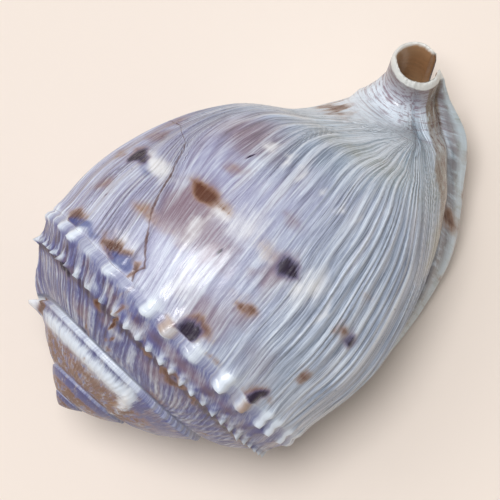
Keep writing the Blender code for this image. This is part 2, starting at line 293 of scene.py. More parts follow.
    def lip_flare(self, angle: np.ndarray, rows: np.ndarray) -> np.ndarray:
        """How far the lip turns out from the body, with the groove behind it.

        Args:
            angle: Angle of growth.
            rows: Row, from the shoulder to the canal's rim.

        Returns:
            The distance added to the radius.
        """
        rise = smooth_step((angle - self.flare_start) / self.flare_span)
        dip = self.groove * bell(angle, self.groove_angle, self.groove_width)
        return self.flare_size(rows) * (rise - dip)

    def flare_size(self, rows: np.ndarray) -> np.ndarray:
        """How far the lip's edge stands out, along the rows."""
        return np.interp(rows, self.flare_rows, self.flare)

    def last_angle(self, rows: np.ndarray) -> np.ndarray:
        """Angle of the lip on a canal slice, which climbs towards the tip."""
        climb = smooth_step((rows - self.canal_climb_start) / self.canal_climb_span)
        return self.canal_low_angle + (self.canal_last_angle - self.canal_low_angle) * climb

    def canal_angle(self, angle: np.ndarray, rows: np.ndarray) -> np.ndarray:
        """Angle on a canal slice for an angle on the body, in proportion along the open ring."""
        share = (angle - self.lip_angle + 360.0) / 360.0
        return self.canal_first_angle + (self.last_angle(rows) - self.canal_first_angle) * share

    def canal_points(self, rows: np.ndarray, angle: np.ndarray, inset: np.ndarray) -> np.ndarray:
        """Points on the tilted oval slices that carry the body into the canal.

        Args:
            rows: Row, from the shoulder to the canal's rim.
            angle: Angle on the slice.
            inset: How far inside the outer oval.

        Returns:
            Points, with x, y and z last.
        """
        stations = np.array(self.canal_stations)
        values = [np.interp(rows, stations[:, 0], column) for column in stations.T[1:]]
        x, y, z, half_width, half_height, pitch, yaw = values
        pitch, yaw, turn = np.radians(pitch), np.radians(yaw), np.radians(angle)
        ahead = np.stack([np.cos(pitch) * np.cos(yaw), np.cos(pitch) * np.sin(yaw), np.sin(pitch)], -1)
        side = np.stack([-np.sin(yaw), np.cos(yaw), np.zeros_like(yaw)], -1)
        up = np.cross(ahead, side)
        across = ((half_width - inset) * np.cos(turn))[..., None] * side
        return np.stack([x, y, z], -1) + across + ((half_height - inset) * np.sin(turn))[..., None] * up

    def blended(self, rows: np.ndarray, body: np.ndarray, canal: np.ndarray) -> np.ndarray:
        """Body points that turn into canal points along the rows."""
        start, stop = self.canal_blend
        weight = smooth_step((rows - start) / (stop - start))[..., None]
        return body * (1.0 - weight) + canal * weight


@dataclass(frozen=True)
class GrowthLines:
    """The course of the growth lines over the last whorl.

    A line is named by the angle where it leaves the shoulder. Each course gives the angles that
    one line has reached at the rows: they lean back, and draw together before the canal.
    """

    smoothing: float = 0.02
    rows: tuple = (0.0, 0.14, 0.3, 0.45, 0.55, 0.65, 0.7, 0.75, 0.79, 0.83, 0.87, 0.93)
    courses: tuple = (
        (-180.0, -180.0, -180.0, -180.0, -180.0, -180.0, -180.0, -180.0, -180.0, -180.0, -175.0, -170.0),
        (-30.0, -30.0, -30.0, -30.0, -31.0, -34.0, -38.0, -42.0, -44.0, -40.0, -10.0, 0.0),
        (0.0, 0.0, 0.0, 1.0, 1.0, 1.0, -2.0, -8.0, -10.0, -4.0, 30.0, 45.0),
        (24.0, 24.0, 23.0, 22.0, 20.0, 18.0, 14.0, 8.0, 5.0, 12.0, 60.0, 75.0),
        (36.0, 34.5, 32.0, 29.0, 27.0, 26.0, 22.0, 16.0, 12.0, 20.0, 75.0, 88.0),
        (58.0, 54.0, 49.5, 37.0, 33.0, 34.0, 32.0, 26.0, 20.0, 34.0, 90.0, 100.0),
        (69.0, 65.5, 56.0, 43.0, 38.0, 39.0, 37.0, 30.0, 26.0, 43.0, 98.0, 106.0),
        (76.7, 72.0, 66.0, 60.0, 58.0, 54.0, 52.0, 45.0, 38.0, 50.0, 104.0, 109.0),
        (84.0, 79.0, 75.0, 73.0, 70.0, 68.5, 62.0, 54.0, 46.0, 56.0, 107.0, 111.0),
        (92.0, 87.0, 84.0, 78.0, 75.0, 71.0, 66.0, 57.0, 54.0, 66.0, 109.5, 112.5),
        (99.5, 94.5, 91.5, 88.0, 86.0, 83.0, 78.0, 72.0, 69.0, 74.0, 111.5, 114.0),
        (116.0, 111.0, 109.0, 106.0, 105.0, 103.0, 100.0, 96.0, 92.0, 92.0, 113.0, 116.0),
        (123.0, 118.0, 116.0, 112.0, 111.5, 109.0, 106.0, 102.0, 96.0, 97.0, 114.0, 117.0),
        (134.0, 129.0, 127.0, 125.0, 125.0, 123.0, 117.0, 111.0, 108.0, 105.0, 115.0, 118.5),
        (145.7, 141.0, 139.0, 137.0, 136.0, 133.0, 128.0, 121.0, 115.0, 108.0, 116.0, 120.0),
        (160.0, 156.0, 156.0, 156.0, 154.0, 147.0, 141.0, 131.0, 124.0, 117.0, 117.5, 122.0),
        (177.0, 173.0, 172.0, 172.0, 169.0, 159.0, 153.0, 145.0, 138.0, 129.0, 121.0, 126.0),
        (198.0, 195.0, 193.0, 193.0, 190.0, 183.0, 176.0, 168.0, 165.0, 160.0, 150.0, 155.0),
        (216.0, 214.0, 213.0, 213.0, 213.0, 213.0, 213.0, 213.0, 213.0, 213.0, 213.0, 213.0),
    )

    def line(self, angle: np.ndarray, rows: np.ndarray) -> np.ndarray:
        """Name of the growth line through each point.

        Between two neighbouring courses the name grows in a straight line with the angle, so it
        is the first name plus the share of every gap that lies below the point. Each course is
        the mean of three readings of its table, a little apart along the rows.

        Args:
            angle: Angle of growth.
            rows: Row, from the shoulder to the canal's rim.

        Returns:
            The line's angle at the shoulder.
        """
        names = [course[0] for course in self.courses]
        places = [rows - self.smoothing, rows, rows + self.smoothing]
        reached = [sum(np.interp(row, self.rows, c) for row in places) / 3.0 for c in self.courses]
        line = np.full_like(angle, names[0])
        for name, after, low, high in zip(names, names[1:], reached, reached[1:]):
            line = line + (after - name) * np.clip((angle - low) / (high - low), 0.0, 1.0)
        return line


@dataclass(frozen=True)
class Knob:
    """One knob on the shoulder: its angle, height in millimetres and width in degrees."""

    angle: float
    height: float
    width: float = 2.6


@dataclass(frozen=True)
class Relief:
    """The raised detail: shoulder knobs, beaded cords, ribs and the growth scar."""

    lines: GrowthLines = GrowthLines()
    knobs: tuple[Knob, ...] = (
        Knob(-66.0, 1.2), Knob(-52.0, 1.4), Knob(-38.0, 1.4), Knob(-26.0, 1.5), Knob(-14.0, 1.6),
        Knob(-2.0, 1.5), Knob(8.0, 1.4), Knob(17.0, 1.6, 2.2), Knob(25.0, 1.0), Knob(33.0, 1.6),
        Knob(42.5, 2.3, 2.4), Knob(53.5, 0.9, 4.0), Knob(65.5, 1.3, 3.0), Knob(74.0, 0.6, 2.0),
        Knob(85.5, 2.1, 2.6), Knob(95.0, 2.5, 2.6), Knob(107.0, 1.4, 3.5), Knob(121.5, 3.2, 2.5),
        Knob(133.0, 2.7, 2.5), Knob(144.5, 2.3, 2.2), Knob(151.5, 2.3, 2.2), Knob(163.0, 1.8, 2.2),
        Knob(173.0, 1.5), Knob(183.0, 1.6), Knob(193.0, 1.4), Knob(203.0, 1.2),
    )
    old_knob: Knob = Knob(-363.0, 8.5, 6.0)
    old_spur: Knob = Knob(-352.5, 2.2, 2.0)
    spur_height: float = 11.0
    last_start: float = -150.0
    last_fade: float = 20.0
    bead_pitch: float = 5.0
    bead_height: float = 0.7
    cord_pitch: float = 3.4
    cord_shares: tuple = (0.16, 0.32, 0.48)
    old_lip_angle: float = -245.0
    old_lip_lean: float = 28.0
    rib_pitch: float = 3.7
    rib_wander: tuple = ((2.0, 8.0, 11), (0.9, 3.1, 14))
    rib_height: float = 0.6
    striae_height: float = 0.24
    node_height: float = 2.5
    riblet_height: float = 0.65
    nodes: tuple = (
        -186.0, -150.0, -60.0, -52.0, -43.0, -34.0, -26.0, -18.0, -9.0, 0.0, 8.0, 16.0, 24.0, 30.0,
        36.0, 42.0, 48.0, 54.8, 62.8, 70.8, 78.0, 84.7, 90.7, 95.8, 102.8, 107.5, 112.8, 118.8,
        124.8, 130.5, 136.3, 141.5, 147.0, 153.0, 158.0, 164.0, 170.0, 177.0, 185.0, 193.0, 201.0,
        211.0, 300.0,
    )
    node_share: float = 0.69
    groove_rows: tuple = (0.35, 0.45, 0.55, 0.65, 0.75, 0.81, 0.87, 0.91, 0.96)
    groove_edge: tuple = (205.0, 200.0, 188.0, 173.0, 155.0, 137.0, 139.0, 147.0, 155.0)
    scar_rows: tuple = (0.0, 0.03, 0.06, 0.1, 0.16, 0.2, 0.27, 0.3, 0.36, 0.385, 0.41, 0.425)
    scar_angles: tuple = (75.5, 74.0, 75.0, 70.0, 64.0, 61.0, 56.0, 53.5, 48.5, 46.0, 42.5, 36.0)

    def knob_height(self, angle: np.ndarray) -> np.ndarray:
        """Height of the shoulder's knobs: one bump for each, and small beads on older whorls.

        Args:
            angle: Angle of growth.

        Returns:
            The height there, in millimetres.
        """
        height = np.zeros_like(angle)
        for knob in self.knobs + (self.old_knob, self.old_spur):
            height = height + knob.height * bell(angle, knob.angle, knob.width)
        early = smooth_step((self.last_start - angle) / self.last_fade) * smooth_step((angle + 620.0) / 100.0)
        beads = 0.5 + 0.5 * np.cos(FULL_TURN * angle / self.bead_pitch)
        fade = 1.0 - smooth_step((angle + 350.0) / 20.0) * smooth_step((-232.0 - angle) / 10.0)
        return height + self.bead_height * early * beads * fade

    def on_last(self, angle: np.ndarray) -> np.ndarray:
        """An S curve from 0 on the earlier whorls to 1 on the last one."""
        return smooth_step((angle - self.last_start) / self.last_fade)

    def rib_phase(self, line: np.ndarray) -> np.ndarray:
        """Number of the rib at a growth line, with the shares between ribs; the pitch wanders."""
        number = line / self.rib_pitch
        for strength, pitch, seed in self.rib_wander:
            number = number + strength * lattice(line / pitch, seed)
        return number

    def rib_strength(self, line: np.ndarray, rows: np.ndarray) -> np.ndarray:
        """How strong the ribs are: most on the left, on the far right and before the canal.

        Args:
            line: The growth line's angle at the shoulder.
            rows: Row, from the shoulder to the canal's rim.

        Returns:
            The strength, from 0 to about 1.
        """
        left = 0.65 * smooth_step((74.0 - line) / 6.0) * smooth_step((0.7 - rows) / 0.2)
        right = 0.7 * smooth_step((line - 106.0) / 26.0) * smooth_step((rows + 0.05) / 0.35)
        far = 0.25 * smooth_step((line - 132.0) / 20.0)
        front = 0.75 * smooth_step((rows - 0.42) / 0.2) * smooth_step((line - 60.0) / 10.0)
        strength = np.maximum(np.maximum(left, right + far), front) + 0.08
        return strength * smooth_step((0.93 - rows) / 0.06) * smooth_step((rows - 0.008) / 0.012)

    def ribs(self, line: np.ndarray, rows: np.ndarray) -> np.ndarray:
        """Height of the ribs in millimetres, left out where a rib runs aslant between two rows."""
        phase = self.rib_phase(line)
        wave = 0.5 + 0.5 * np.sin(FULL_TURN * phase)
        uneven = 0.35 + lattice_2d(phase, rows * 3.0, 12)
        slant = np.abs(np.gradient(phase, axis=1))
        fade = smooth_step((0.45 - slant) / 0.25)
        return self.rib_height * self.rib_strength(line, rows) * wave**1.4 * uneven * fade

    def groove(self, angle: np.ndarray, rows: np.ndarray) -> np.ndarray:
        """Share of the stained groove that runs behind the lip up to the canal's rim."""
        start = np.interp(rows, self.groove_rows, self.groove_edge)
        along = smooth_step((rows - 0.4) / 0.1)
        return smooth_step((angle - start) / 7.0) * smooth_step((206.0 - angle) / 4.0) * along

    def striae(self, line: np.ndarray, rows: np.ndarray) -> np.ndarray:
        """Height of the fine lines between the ribs, in millimetres."""
        fine = lattice_2d(line * 0.9, rows * 5.0, 21)
        return self.striae_height * (fine - 0.5) * smooth_step((0.87 - rows) / 0.06)

    def collar(self, angle: np.ndarray, rows: np.ndarray) -> np.ndarray:
        """Height of the folded band round the canal: ridges that follow the rows, in millimetres.

        Args:
            angle: Angle of growth.
            rows: Row, from the shoulder to the canal's rim.

        Returns:
            The height of a broad ridge and of the wrinkles behind the rim.
        """
        slant = rows + 0.0001 * (angle - 90.0)
        ridge = 0.9 * bell(slant, 0.865, 0.022)
        wrinkles = 0.4 * (lattice_2d(slant * 95.0, angle / 25.0, 51) - 0.5)
        wrinkles = wrinkles + 0.25 * (lattice_2d(slant * 230.0, angle / 14.0, 52) - 0.5)
        return ridge + wrinkles * smooth_step((rows - 0.82) / 0.05) * smooth_step((0.99 - rows) / 0.02)

    def scar_gap(self, angle: np.ndarray, rows: np.ndarray) -> np.ndarray:
        """Degrees ahead of the growth scar, which leans back from the shoulder with a few kinks."""
        kinks = 1.2 * (lattice(rows * 26.0, 31) - 0.5)
        return angle - np.interp(rows, self.scar_rows, self.scar_angles) - kinks

    def scar(self, angle: np.ndarray, rows: np.ndarray) -> np.ndarray:
        """Height of the growth scar: a step with a thin crack at its foot, in millimetres."""
        gap = self.scar_gap(angle, rows)
        reach = smooth_step((0.46 - rows) / 0.04)
        step = 0.55 * smooth_step((gap + 1.2) / 2.0) * np.exp(-np.maximum(gap, 0.0) / 9.0)
        crack = -0.35 * bell(gap, -1.0, 0.9)
        return (step + crack) * reach

    def slope_line(self, angle: np.ndarray, share: np.ndarray) -> np.ndarray:
        """Angle at the shoulder of the slope's growth line, which leans more near the lip."""
        lean = 12.0 + 15.0 * smooth_step((angle - 85.0) / 40.0)
        return angle + lean * (share - 1.0)

    def slope(self, angle: np.ndarray, share: np.ndarray) -> tuple[np.ndarray, np.ndarray]:
        """Relief between the suture and the shoulder, on all whorls.

        On the last whorl, riblets run up to a row of sharp nodes at two thirds, and on from
        there to the shoulder. On the whorl before, a broad band ends in an overhanging keel.

        Args:
            angle: Angle of growth.
            share: 0 at the suture and 1 at the shoulder.

        Returns:
            The height along the surface's normal in millimetres, and the tone without the
            ribs', from -1 in a groove to 1 on a crest; its dark parts below the nodes and under
            the keel are painted shade.
        """
        last = self.on_last(angle)
        height, tone = self.newest_slope(self.slope_line(angle, share), share)
        older, older_tone = self.older_slope(angle, share)
        return last * height + (1.0 - last) * older, last * tone + (1.0 - last) * older_tone

    def node_phase(self, line: np.ndarray) -> np.ndarray:
        """Number of the node at a growth line of the slope, with the shares between nodes."""
        lines = self.slope_line(np.array(self.nodes), np.array(self.node_share))
        return np.interp(line, lines, np.arange(len(self.nodes)))

    def node_edge(self, share: np.ndarray) -> np.ndarray:
        """An S curve up the step that carries the nodes."""
        return smooth_step((share - self.node_share + 0.05) / 0.05)

    def slope_ribs(self, line: np.ndarray, share: np.ndarray) -> tuple[np.ndarray, np.ndarray]:
        """Number and strength of the riblets on the slope, two to a node.

        Args:
            line: Angle of the slope's growth line.
            share: 0 at the suture and 1 at the shoulder.

        Returns:
            The number of the riblet, and how strong it is.
        """
        edge = self.node_edge(share)
        left = smooth_step((75.0 - line) / 3.0) * smooth_step((line + 40.0) / 20.0)
        upper = edge * smooth_step((1.0 - share) / 0.12) * (0.04 + 0.8 * left)
        lower = (1.0 - edge) * smooth_step(share / 0.12) * (0.65 + 0.35 * left)
        phase = 2.0 * self.node_phase(line) + 1.1 * lattice(line / 4.0, 46)
        return phase, self.on_last(line) * (upper + lower)

    def newest_slope(self, line: np.ndarray, share: np.ndarray) -> tuple[np.ndarray, np.ndarray]:
        """Relief of the last whorl's slope.

        Args:
            line: Angle of the slope's growth line.
            share: 0 at the suture and 1 at the shoulder.

        Returns:
            The height in millimetres, and the tone without the ribs'.
        """
        node_phase = self.node_phase(line)
        size = 0.45 + 0.8 * lattice(node_phase + 0.5, 41)
        node = (0.5 + 0.5 * np.cos(FULL_TURN * node_phase)) ** 2.5 * size
        edge = self.node_edge(share)
        tip = edge * np.exp(-np.maximum(share - self.node_share, 0.0) / 0.05)
        phase, strength = self.slope_ribs(line, share)
        slant = np.abs(np.gradient(phase, axis=1))
        rib = (0.5 + 0.5 * np.sin(FULL_TURN * phase)) * smooth_step((0.4 - slant) / 0.25)
        height = self.node_height * tip * node + 0.25 * tip + self.riblet_height * rib * strength
        height = height - 0.7 * bell(share, 0.5, 0.13)
        # The tone is light on the white nodes; the dark bell just below their step is painted shadow.
        tone = edge * (1.9 * tip * node - 0.1) - 1.1 * bell(share, self.node_share - 0.07, 0.06)
        return height, tone

    def older_slope(self, angle: np.ndarray, share: np.ndarray) -> tuple[np.ndarray, np.ndarray]:
        """Relief of the earlier whorls: beaded cords, and the band with its keel.

        Args:
            angle: Angle of growth.
            share: 0 at the suture and 1 at the shoulder.

        Returns:
            The height in millimetres, and the tone.
        """
        beads = 0.5 + 0.5 * np.cos(FULL_TURN * (angle / self.cord_pitch + 0.3 * share))
        cords = 0.0
        for place in self.cord_shares:
            cords = cords + 0.45 * bell(share, place, 0.06) * (0.2 + beads)
        gap = self.varix_gap(angle, share)
        before_lip = 1.0 - smooth_step((gap + 3.0) / 5.0)
        band = smooth_step((share - 0.62) / 0.08) * smooth_step((0.9 - share) / 0.04)
        band = band * smooth_step((angle + 440.0) / 60.0) * before_lip
        folds = lattice_2d(angle / 1.3, share * 4.0, 45)
        keel = band * (0.8 + 0.4 * beads * smooth_step((share - 0.7) / 0.08) + 0.3 * folds)
        under = -1.1 * smooth_step((share - 0.88) / 0.04) * smooth_step((-240.0 - angle) / 8.0)
        varix = 1.3 * bell(gap, 0.0, 3.2) * smooth_step((0.95 - share) / 0.1)
        spur = self.spur_height * bell(angle, self.old_knob.angle, 6.5) * bell(share, 0.93, 0.12)
        size = np.clip(np.exp((angle + 250.0) / 260.0), 0.2, 1.0)
        # In the tone, 0.5 * under darkens the recess under the keel: painted shade.
        tone = band * (0.35 + 0.9 * folds) + 1.2 * cords - 0.35 + 0.5 * under + 0.9 * bell(gap, 0.0, 3.0)
        return (cords + keel + under + varix + spur) * size, tone

    def varix_gap(self, angle: np.ndarray, share: np.ndarray) -> np.ndarray:
        """Degrees past the old lip on the whorl before the last, which crosses the slope aslant."""
        return angle - self.old_lip_angle - self.old_lip_lean * (0.8 - share)


class Tint(Enum):
    """Colours laid over the shell's ground, each kept as one of its channels."""

    BROWN = "brown"
    TAN = "tan"
    DARK = "dark"
    BLUE = "blue"
    CREAM = "cream"
    MAUVE = "mauve"
    OLIVE = "olive"


@dataclass(frozen=True)
class Mark:
    """A soft patch of a tint: its angle and row, how wide and long it is, and how strong."""

    tint: Tint
    angle: float
    row: float
    wide: float
    long: float
    strength: float = 1.0
    lean: float = 0.0
    spread: float = 1.25

    def cover(self, angle: np.ndarray, row: np.ndarray) -> np.ndarray:
        """How much of the tint lies at each point: an oval bump, sheared by its lean.

        Args:
            angle: Angle of growth.
            row: Row on the body, or share up the slope.

        Returns:
            The cover, from 0 to the mark's strength.
        """
        across = (angle - self.angle - self.lean * (row - self.row)) / (self.spread * self.wide)
        along = (row - self.row) / (self.spread * self.long)
        return self.strength * np.exp(-(across**2 + along**2))


@dataclass(frozen=True)
class Markings:
    """Where the patches lie, on the body and on the slope above the shoulder."""

    bend_angle: float = 5.0
    bend_row: float = 0.03
    body: tuple[Mark, ...] = (
        Mark(Tint.BROWN, 68.5, 0.334, 7.5, 0.021, 1.15),
        Mark(Tint.MAUVE, 68.0, 0.290, 8.0, 0.060, 1.0),
        Mark(Tint.CREAM, 86.0, 0.340, 7.0, 0.060, 0.7),
        Mark(Tint.BROWN, 61.0, 0.333, 5.0, 0.010, 0.6),
        Mark(Tint.BROWN, 75.5, 0.330, 4.5, 0.012, 0.55),
        Mark(Tint.CREAM, 76.0, 0.315, 4.5, 0.030, 0.9),
        Mark(Tint.DARK, 34.0, 0.283, 5.0, 0.024, 1.2),
        Mark(Tint.BLUE, 39.0, 0.268, 6.0, 0.014, 0.9, -120.0),
        Mark(Tint.BROWN, 30.0, 0.288, 3.5, 0.022, 0.9),
        Mark(Tint.CREAM, 45.0, 0.302, 8.0, 0.030, 1.2),
        Mark(Tint.CREAM, 62.0, 0.080, 8.0, 0.030, 0.6),
        Mark(Tint.CREAM, 76.0, 0.240, 3.0, 0.060, 0.7),
        Mark(Tint.MAUVE, 34.5, 0.152, 5.0, 0.022, 0.8),
        Mark(Tint.BROWN, 35.0, 0.152, 4.5, 0.016, 0.45),
        Mark(Tint.TAN, 60.0, 0.180, 6.0, 0.024, 0.9),
        Mark(Tint.BROWN, 59.0, 0.176, 3.0, 0.012, 0.45),
        Mark(Tint.TAN, 72.0, 0.183, 6.0, 0.018, 0.5),
        Mark(Tint.TAN, 64.5, 0.450, 5.0, 0.020, 0.55),
        Mark(Tint.MAUVE, 65.0, 0.450, 5.0, 0.024, 0.7),
        Mark(Tint.MAUVE, 97.0, 0.455, 5.0, 0.018, 0.6),
        Mark(Tint.BROWN, 105.0, 0.178, 5.0, 0.024, 0.75),
        Mark(Tint.MAUVE, 106.0, 0.160, 6.0, 0.040, 0.7),
        Mark(Tint.BROWN, 139.0, 0.156, 3.6, 0.018, 0.75),
        Mark(Tint.BROWN, 135.5, 0.312, 3.5, 0.020, 0.7),
        Mark(Tint.DARK, 142.0, 0.305, 3.6, 0.026, 0.75),
        Mark(Tint.BROWN, 138.0, 0.425, 3.0, 0.016, 0.5),
        Mark(Tint.DARK, 105.0, 0.336, 4.8, 0.036, 0.95),
        Mark(Tint.BLUE, 106.5, 0.318, 3.6, 0.020, 0.6),
        Mark(Tint.TAN, 97.5, 0.345, 5.0, 0.028, 0.6),
        Mark(Tint.CREAM, 96.0, 0.330, 4.0, 0.020, 0.6),
        Mark(Tint.CREAM, 116.0, 0.345, 4.5, 0.060, 0.8),
        Mark(Tint.MAUVE, 105.0, 0.290, 5.0, 0.050, 0.8),
        Mark(Tint.CREAM, 87.0, 0.110, 5.0, 0.070, 0.6),
        Mark(Tint.CREAM, 125.0, 0.330, 2.0, 0.080, 0.6),
        # Painted shadow just past the knob at 95 degrees.
        Mark(Tint.DARK, 100.0, 0.014, 4.0, 0.034, 1.0),
        Mark(Tint.BROWN, 101.5, 0.046, 4.5, 0.030, 0.9),
        # Painted shadow just past the knob at 133 degrees.
        Mark(Tint.DARK, 133.5, 0.018, 3.6, 0.028, 1.0),
        Mark(Tint.BROWN, 131.0, 0.030, 4.0, 0.028, 0.8),
        Mark(Tint.BROWN, 139.0, 0.048, 3.0, 0.014, 0.5),
        Mark(Tint.BROWN, 60.0, 0.040, 5.5, 0.030, 1.1),
        Mark(Tint.BLUE, 66.0, 0.024, 4.0, 0.018, 1.2),
        Mark(Tint.DARK, 61.0, 0.016, 4.0, 0.010, 0.7),
        Mark(Tint.BROWN, 36.0, 0.026, 5.0, 0.026, 1.0),
        Mark(Tint.BLUE, 38.0, 0.014, 4.0, 0.016, 1.2),
        Mark(Tint.BLUE, 43.0, 0.024, 5.5, 0.016, 1.2, 160.0),
        Mark(Tint.BROWN, 72.5, 0.030, 1.6, 0.030, 0.9),
        Mark(Tint.BROWN, 112.0, 0.008, 4.0, 0.014, 0.5),
        Mark(Tint.OLIVE, 104.0, 0.010, 3.0, 0.014, 0.8),
        Mark(Tint.BROWN, 21.0, 0.250, 5.0, 0.030, 0.6),
        Mark(Tint.MAUVE, 25.0, 0.375, 6.0, 0.026, 0.9),
        Mark(Tint.MAUVE, 19.0, 0.450, 5.0, 0.040, 0.8),
        Mark(Tint.MAUVE, 54.0, 0.570, 15.0, 0.070, 0.8),
        Mark(Tint.MAUVE, 82.0, 0.235, 9.0, 0.055, 0.75),
        Mark(Tint.MAUVE, 72.0, 0.235, 8.0, 0.045, 1.1),
        Mark(Tint.MAUVE, 98.0, 0.095, 9.0, 0.060, 0.7),
        Mark(Tint.MAUVE, 126.0, 0.090, 8.0, 0.050, 0.6),
        Mark(Tint.TAN, 95.5, 0.002, 2.6, 0.010, 1.1),
        Mark(Tint.TAN, 133.0, 0.002, 2.4, 0.010, 1.1),
        Mark(Tint.CREAM, 66.0, 0.555, 3.0, 0.022, 0.8),
        Mark(Tint.CREAM, 76.0, 0.560, 2.2, 0.024, 0.8),
        Mark(Tint.CREAM, 84.0, 0.565, 2.4, 0.024, 0.7),
        Mark(Tint.CREAM, 94.5, 0.560, 2.2, 0.022, 0.7),
        Mark(Tint.CREAM, 104.5, 0.565, 2.0, 0.022, 0.7),
        Mark(Tint.CREAM, 113.0, 0.570, 2.0, 0.024, 0.6),
        Mark(Tint.OLIVE, 88.0, 0.740, 30.0, 0.045, 0.7),
        Mark(Tint.OLIVE, 150.0, 0.750, 18.0, 0.080, 0.55),
        Mark(Tint.OLIVE, 176.0, 0.640, 12.0, 0.080, 0.9),
        Mark(Tint.BROWN, 205.0, 0.700, 4.0, 0.030, 0.7),
        Mark(Tint.BROWN, 211.0, 0.700, 4.0, 0.030, 0.5),
        Mark(Tint.BROWN, 211.0, 0.560, 5.0, 0.014, 0.7),
        Mark(Tint.BROWN, 213.0, 0.780, 3.0, 0.012, 0.8),
        Mark(Tint.BROWN, 214.0, 0.640, 3.0, 0.012, 0.8),
        Mark(Tint.BROWN, 211.0, 0.850, 5.0, 0.010, 0.7),
        Mark(Tint.BROWN, 176.0, 0.740, 8.0, 0.016, 0.7),
        Mark(Tint.OLIVE, 172.0, 0.120, 8.0, 0.030, 0.5),
        Mark(Tint.BROWN, 186.0, 0.300, 7.0, 0.030, 0.7),
        Mark(Tint.BROWN, 182.0, 0.150, 5.0, 0.022, 0.7),
        Mark(Tint.BROWN, 187.0, 0.030, 5.0, 0.030, 0.8),
        Mark(Tint.BROWN, 8.0, 0.815, 26.0, 0.016, 0.8),
        Mark(Tint.MAUVE, 5.0, 0.820, 30.0, 0.025, 0.9),
        Mark(Tint.BROWN, -4.0, 0.300, 6.0, 0.030, 0.8),
        Mark(Tint.BROWN, 2.0, 0.160, 5.0, 0.022, 0.6),
        Mark(Tint.BROWN, -36.0, 0.310, 6.0, 0.030, 0.8),
        Mark(Tint.BROWN, -30.0, 0.030, 5.0, 0.030, 0.8),
        Mark(Tint.BROWN, 2.0, 0.030, 5.0, 0.030, 0.8),
        Mark(Tint.DARK, 87.3, 0.228, 0.8, 0.011, 1.4),
        Mark(Tint.DARK, 65.6, 0.503, 0.7, 0.009, 1.4),
        Mark(Tint.DARK, 42.0, 0.150, 0.5, 0.005, 1.0),
        Mark(Tint.DARK, 150.0, 0.470, 0.5, 0.005, 0.9),
    )
    slope: tuple[Mark, ...] = (
        Mark(Tint.BROWN, 111.0, 0.600, 4.5, 0.09, 1.2),
        Mark(Tint.DARK, 111.0, 0.640, 2.0, 0.04, 0.8),
        Mark(Tint.TAN, 116.0, 0.640, 2.5, 0.04, 0.9),
        Mark(Tint.DARK, 142.0, 0.620, 2.5, 0.06, 1.0),
        Mark(Tint.BROWN, 69.5, 0.590, 2.2, 0.06, 0.9),
        Mark(Tint.DARK, 45.0, 0.620, 6.0, 0.07, 1.0),
        Mark(Tint.BROWN, 81.0, 0.500, 0.8, 0.40, 0.9, -12.0),
        Mark(Tint.MAUVE, 64.0, 0.280, 8.0, 0.12, 0.9),
        Mark(Tint.BROWN, 63.0, 0.270, 6.0, 0.06, 0.4),
        Mark(Tint.MAUVE, 76.0, 0.480, 4.0, 0.09, 0.9),
        Mark(Tint.MAUVE, 102.0, 0.450, 9.0, 0.10, 0.6),
        Mark(Tint.BROWN, 152.0, 0.240, 3.0, 0.10, 0.8, -30.0),
        Mark(Tint.BROWN, 105.0, 0.560, 2.0, 0.05, 0.6),
        Mark(Tint.MAUVE, 118.0, 0.850, 26.0, 0.07, 0.6),
        Mark(Tint.TAN, 95.5, 0.990, 2.6, 0.030, 1.1),
        Mark(Tint.TAN, 133.0, 0.990, 2.4, 0.030, 1.1),
        Mark(Tint.BROWN, 97.0, 0.600, 2.0, 0.05, 0.7),
        Mark(Tint.BROWN, 124.0, 0.590, 2.5, 0.05, 0.8),
        Mark(Tint.DARK, 66.5, 0.030, 4.0, 0.05, 1.0),
        Mark(Tint.DARK, 91.0, 0.030, 4.0, 0.04, 0.9),
        Mark(Tint.BROWN, 70.0, 0.120, 3.0, 0.12, 0.8),
        Mark(Tint.BROWN, 120.0, 0.100, 9.0, 0.06, 0.7),
        Mark(Tint.CREAM, 84.0, 0.440, 4.0, 0.10, 0.6),
        Mark(Tint.CREAM, 70.0, 0.850, 5.0, 0.10, 0.4),
        Mark(Tint.BROWN, -283.0, 0.200, 4.0, 0.10, 0.9),
        Mark(Tint.DARK, -284.0, 0.220, 2.5, 0.05, 0.8),
        Mark(Tint.BROWN, -272.5, 0.190, 3.0, 0.07, 0.8),
        Mark(Tint.BROWN, -293.0, 0.400, 4.0, 0.10, 0.6),
        Mark(Tint.MAUVE, -292.0, 0.380, 7.0, 0.14, 0.8),
        Mark(Tint.TAN, -240.5, 0.380, 3.0, 0.14, 0.95, -22.0),
        Mark(Tint.MAUVE, -330.0, 0.500, 10.0, 0.25, 0.6),
        Mark(Tint.BROWN, -281.0, 0.740, 1.6, 0.05, 0.5),
        Mark(Tint.BROWN, -352.0, 0.900, 5.0, 0.20, 1.0),
        Mark(Tint.CREAM, -363.0, 0.950, 6.0, 0.14, 1.0),
        Mark(Tint.CREAM, -268.0, 0.680, 26.0, 0.22, 0.45),
        Mark(Tint.CREAM, -244.0, 0.650, 3.5, 0.30, 0.9, -28.0),
    )

    def cover(self, marks: tuple[Mark, ...], tint: Tint, angle: np.ndarray, row: np.ndarray) -> np.ndarray:
        """Greatest cover of one tint among some marks."""
        cover = np.zeros_like(angle)
        for mark in marks:
            if mark.tint is tint:
                cover = np.maximum(cover, mark.cover(angle, row))
        return cover

    def channels(self, marks: tuple[Mark, ...], angle: np.ndarray, row: np.ndarray) -> dict:
        """Cover of every tint, by the channel's name.

        The places are shifted by smooth noise first, so that no patch keeps an oval outline.

        Args:
            marks: The marks to lay down.
            angle: Angle of growth.
            row: Row on the body, or share up the slope.

        Returns:
            The cover of each tint.
        """
        bend = self.bend_angle * (lattice_2d(angle / 3.5, row * 38.0 + 9.0, 71) - 0.5)
        shift = self.bend_row * (lattice_2d(angle / 4.5 + 60.0, row * 22.0, 72) - 0.5)
        return {tint.value: self.cover(marks, tint, angle + bend, row + shift) for tint in Tint}


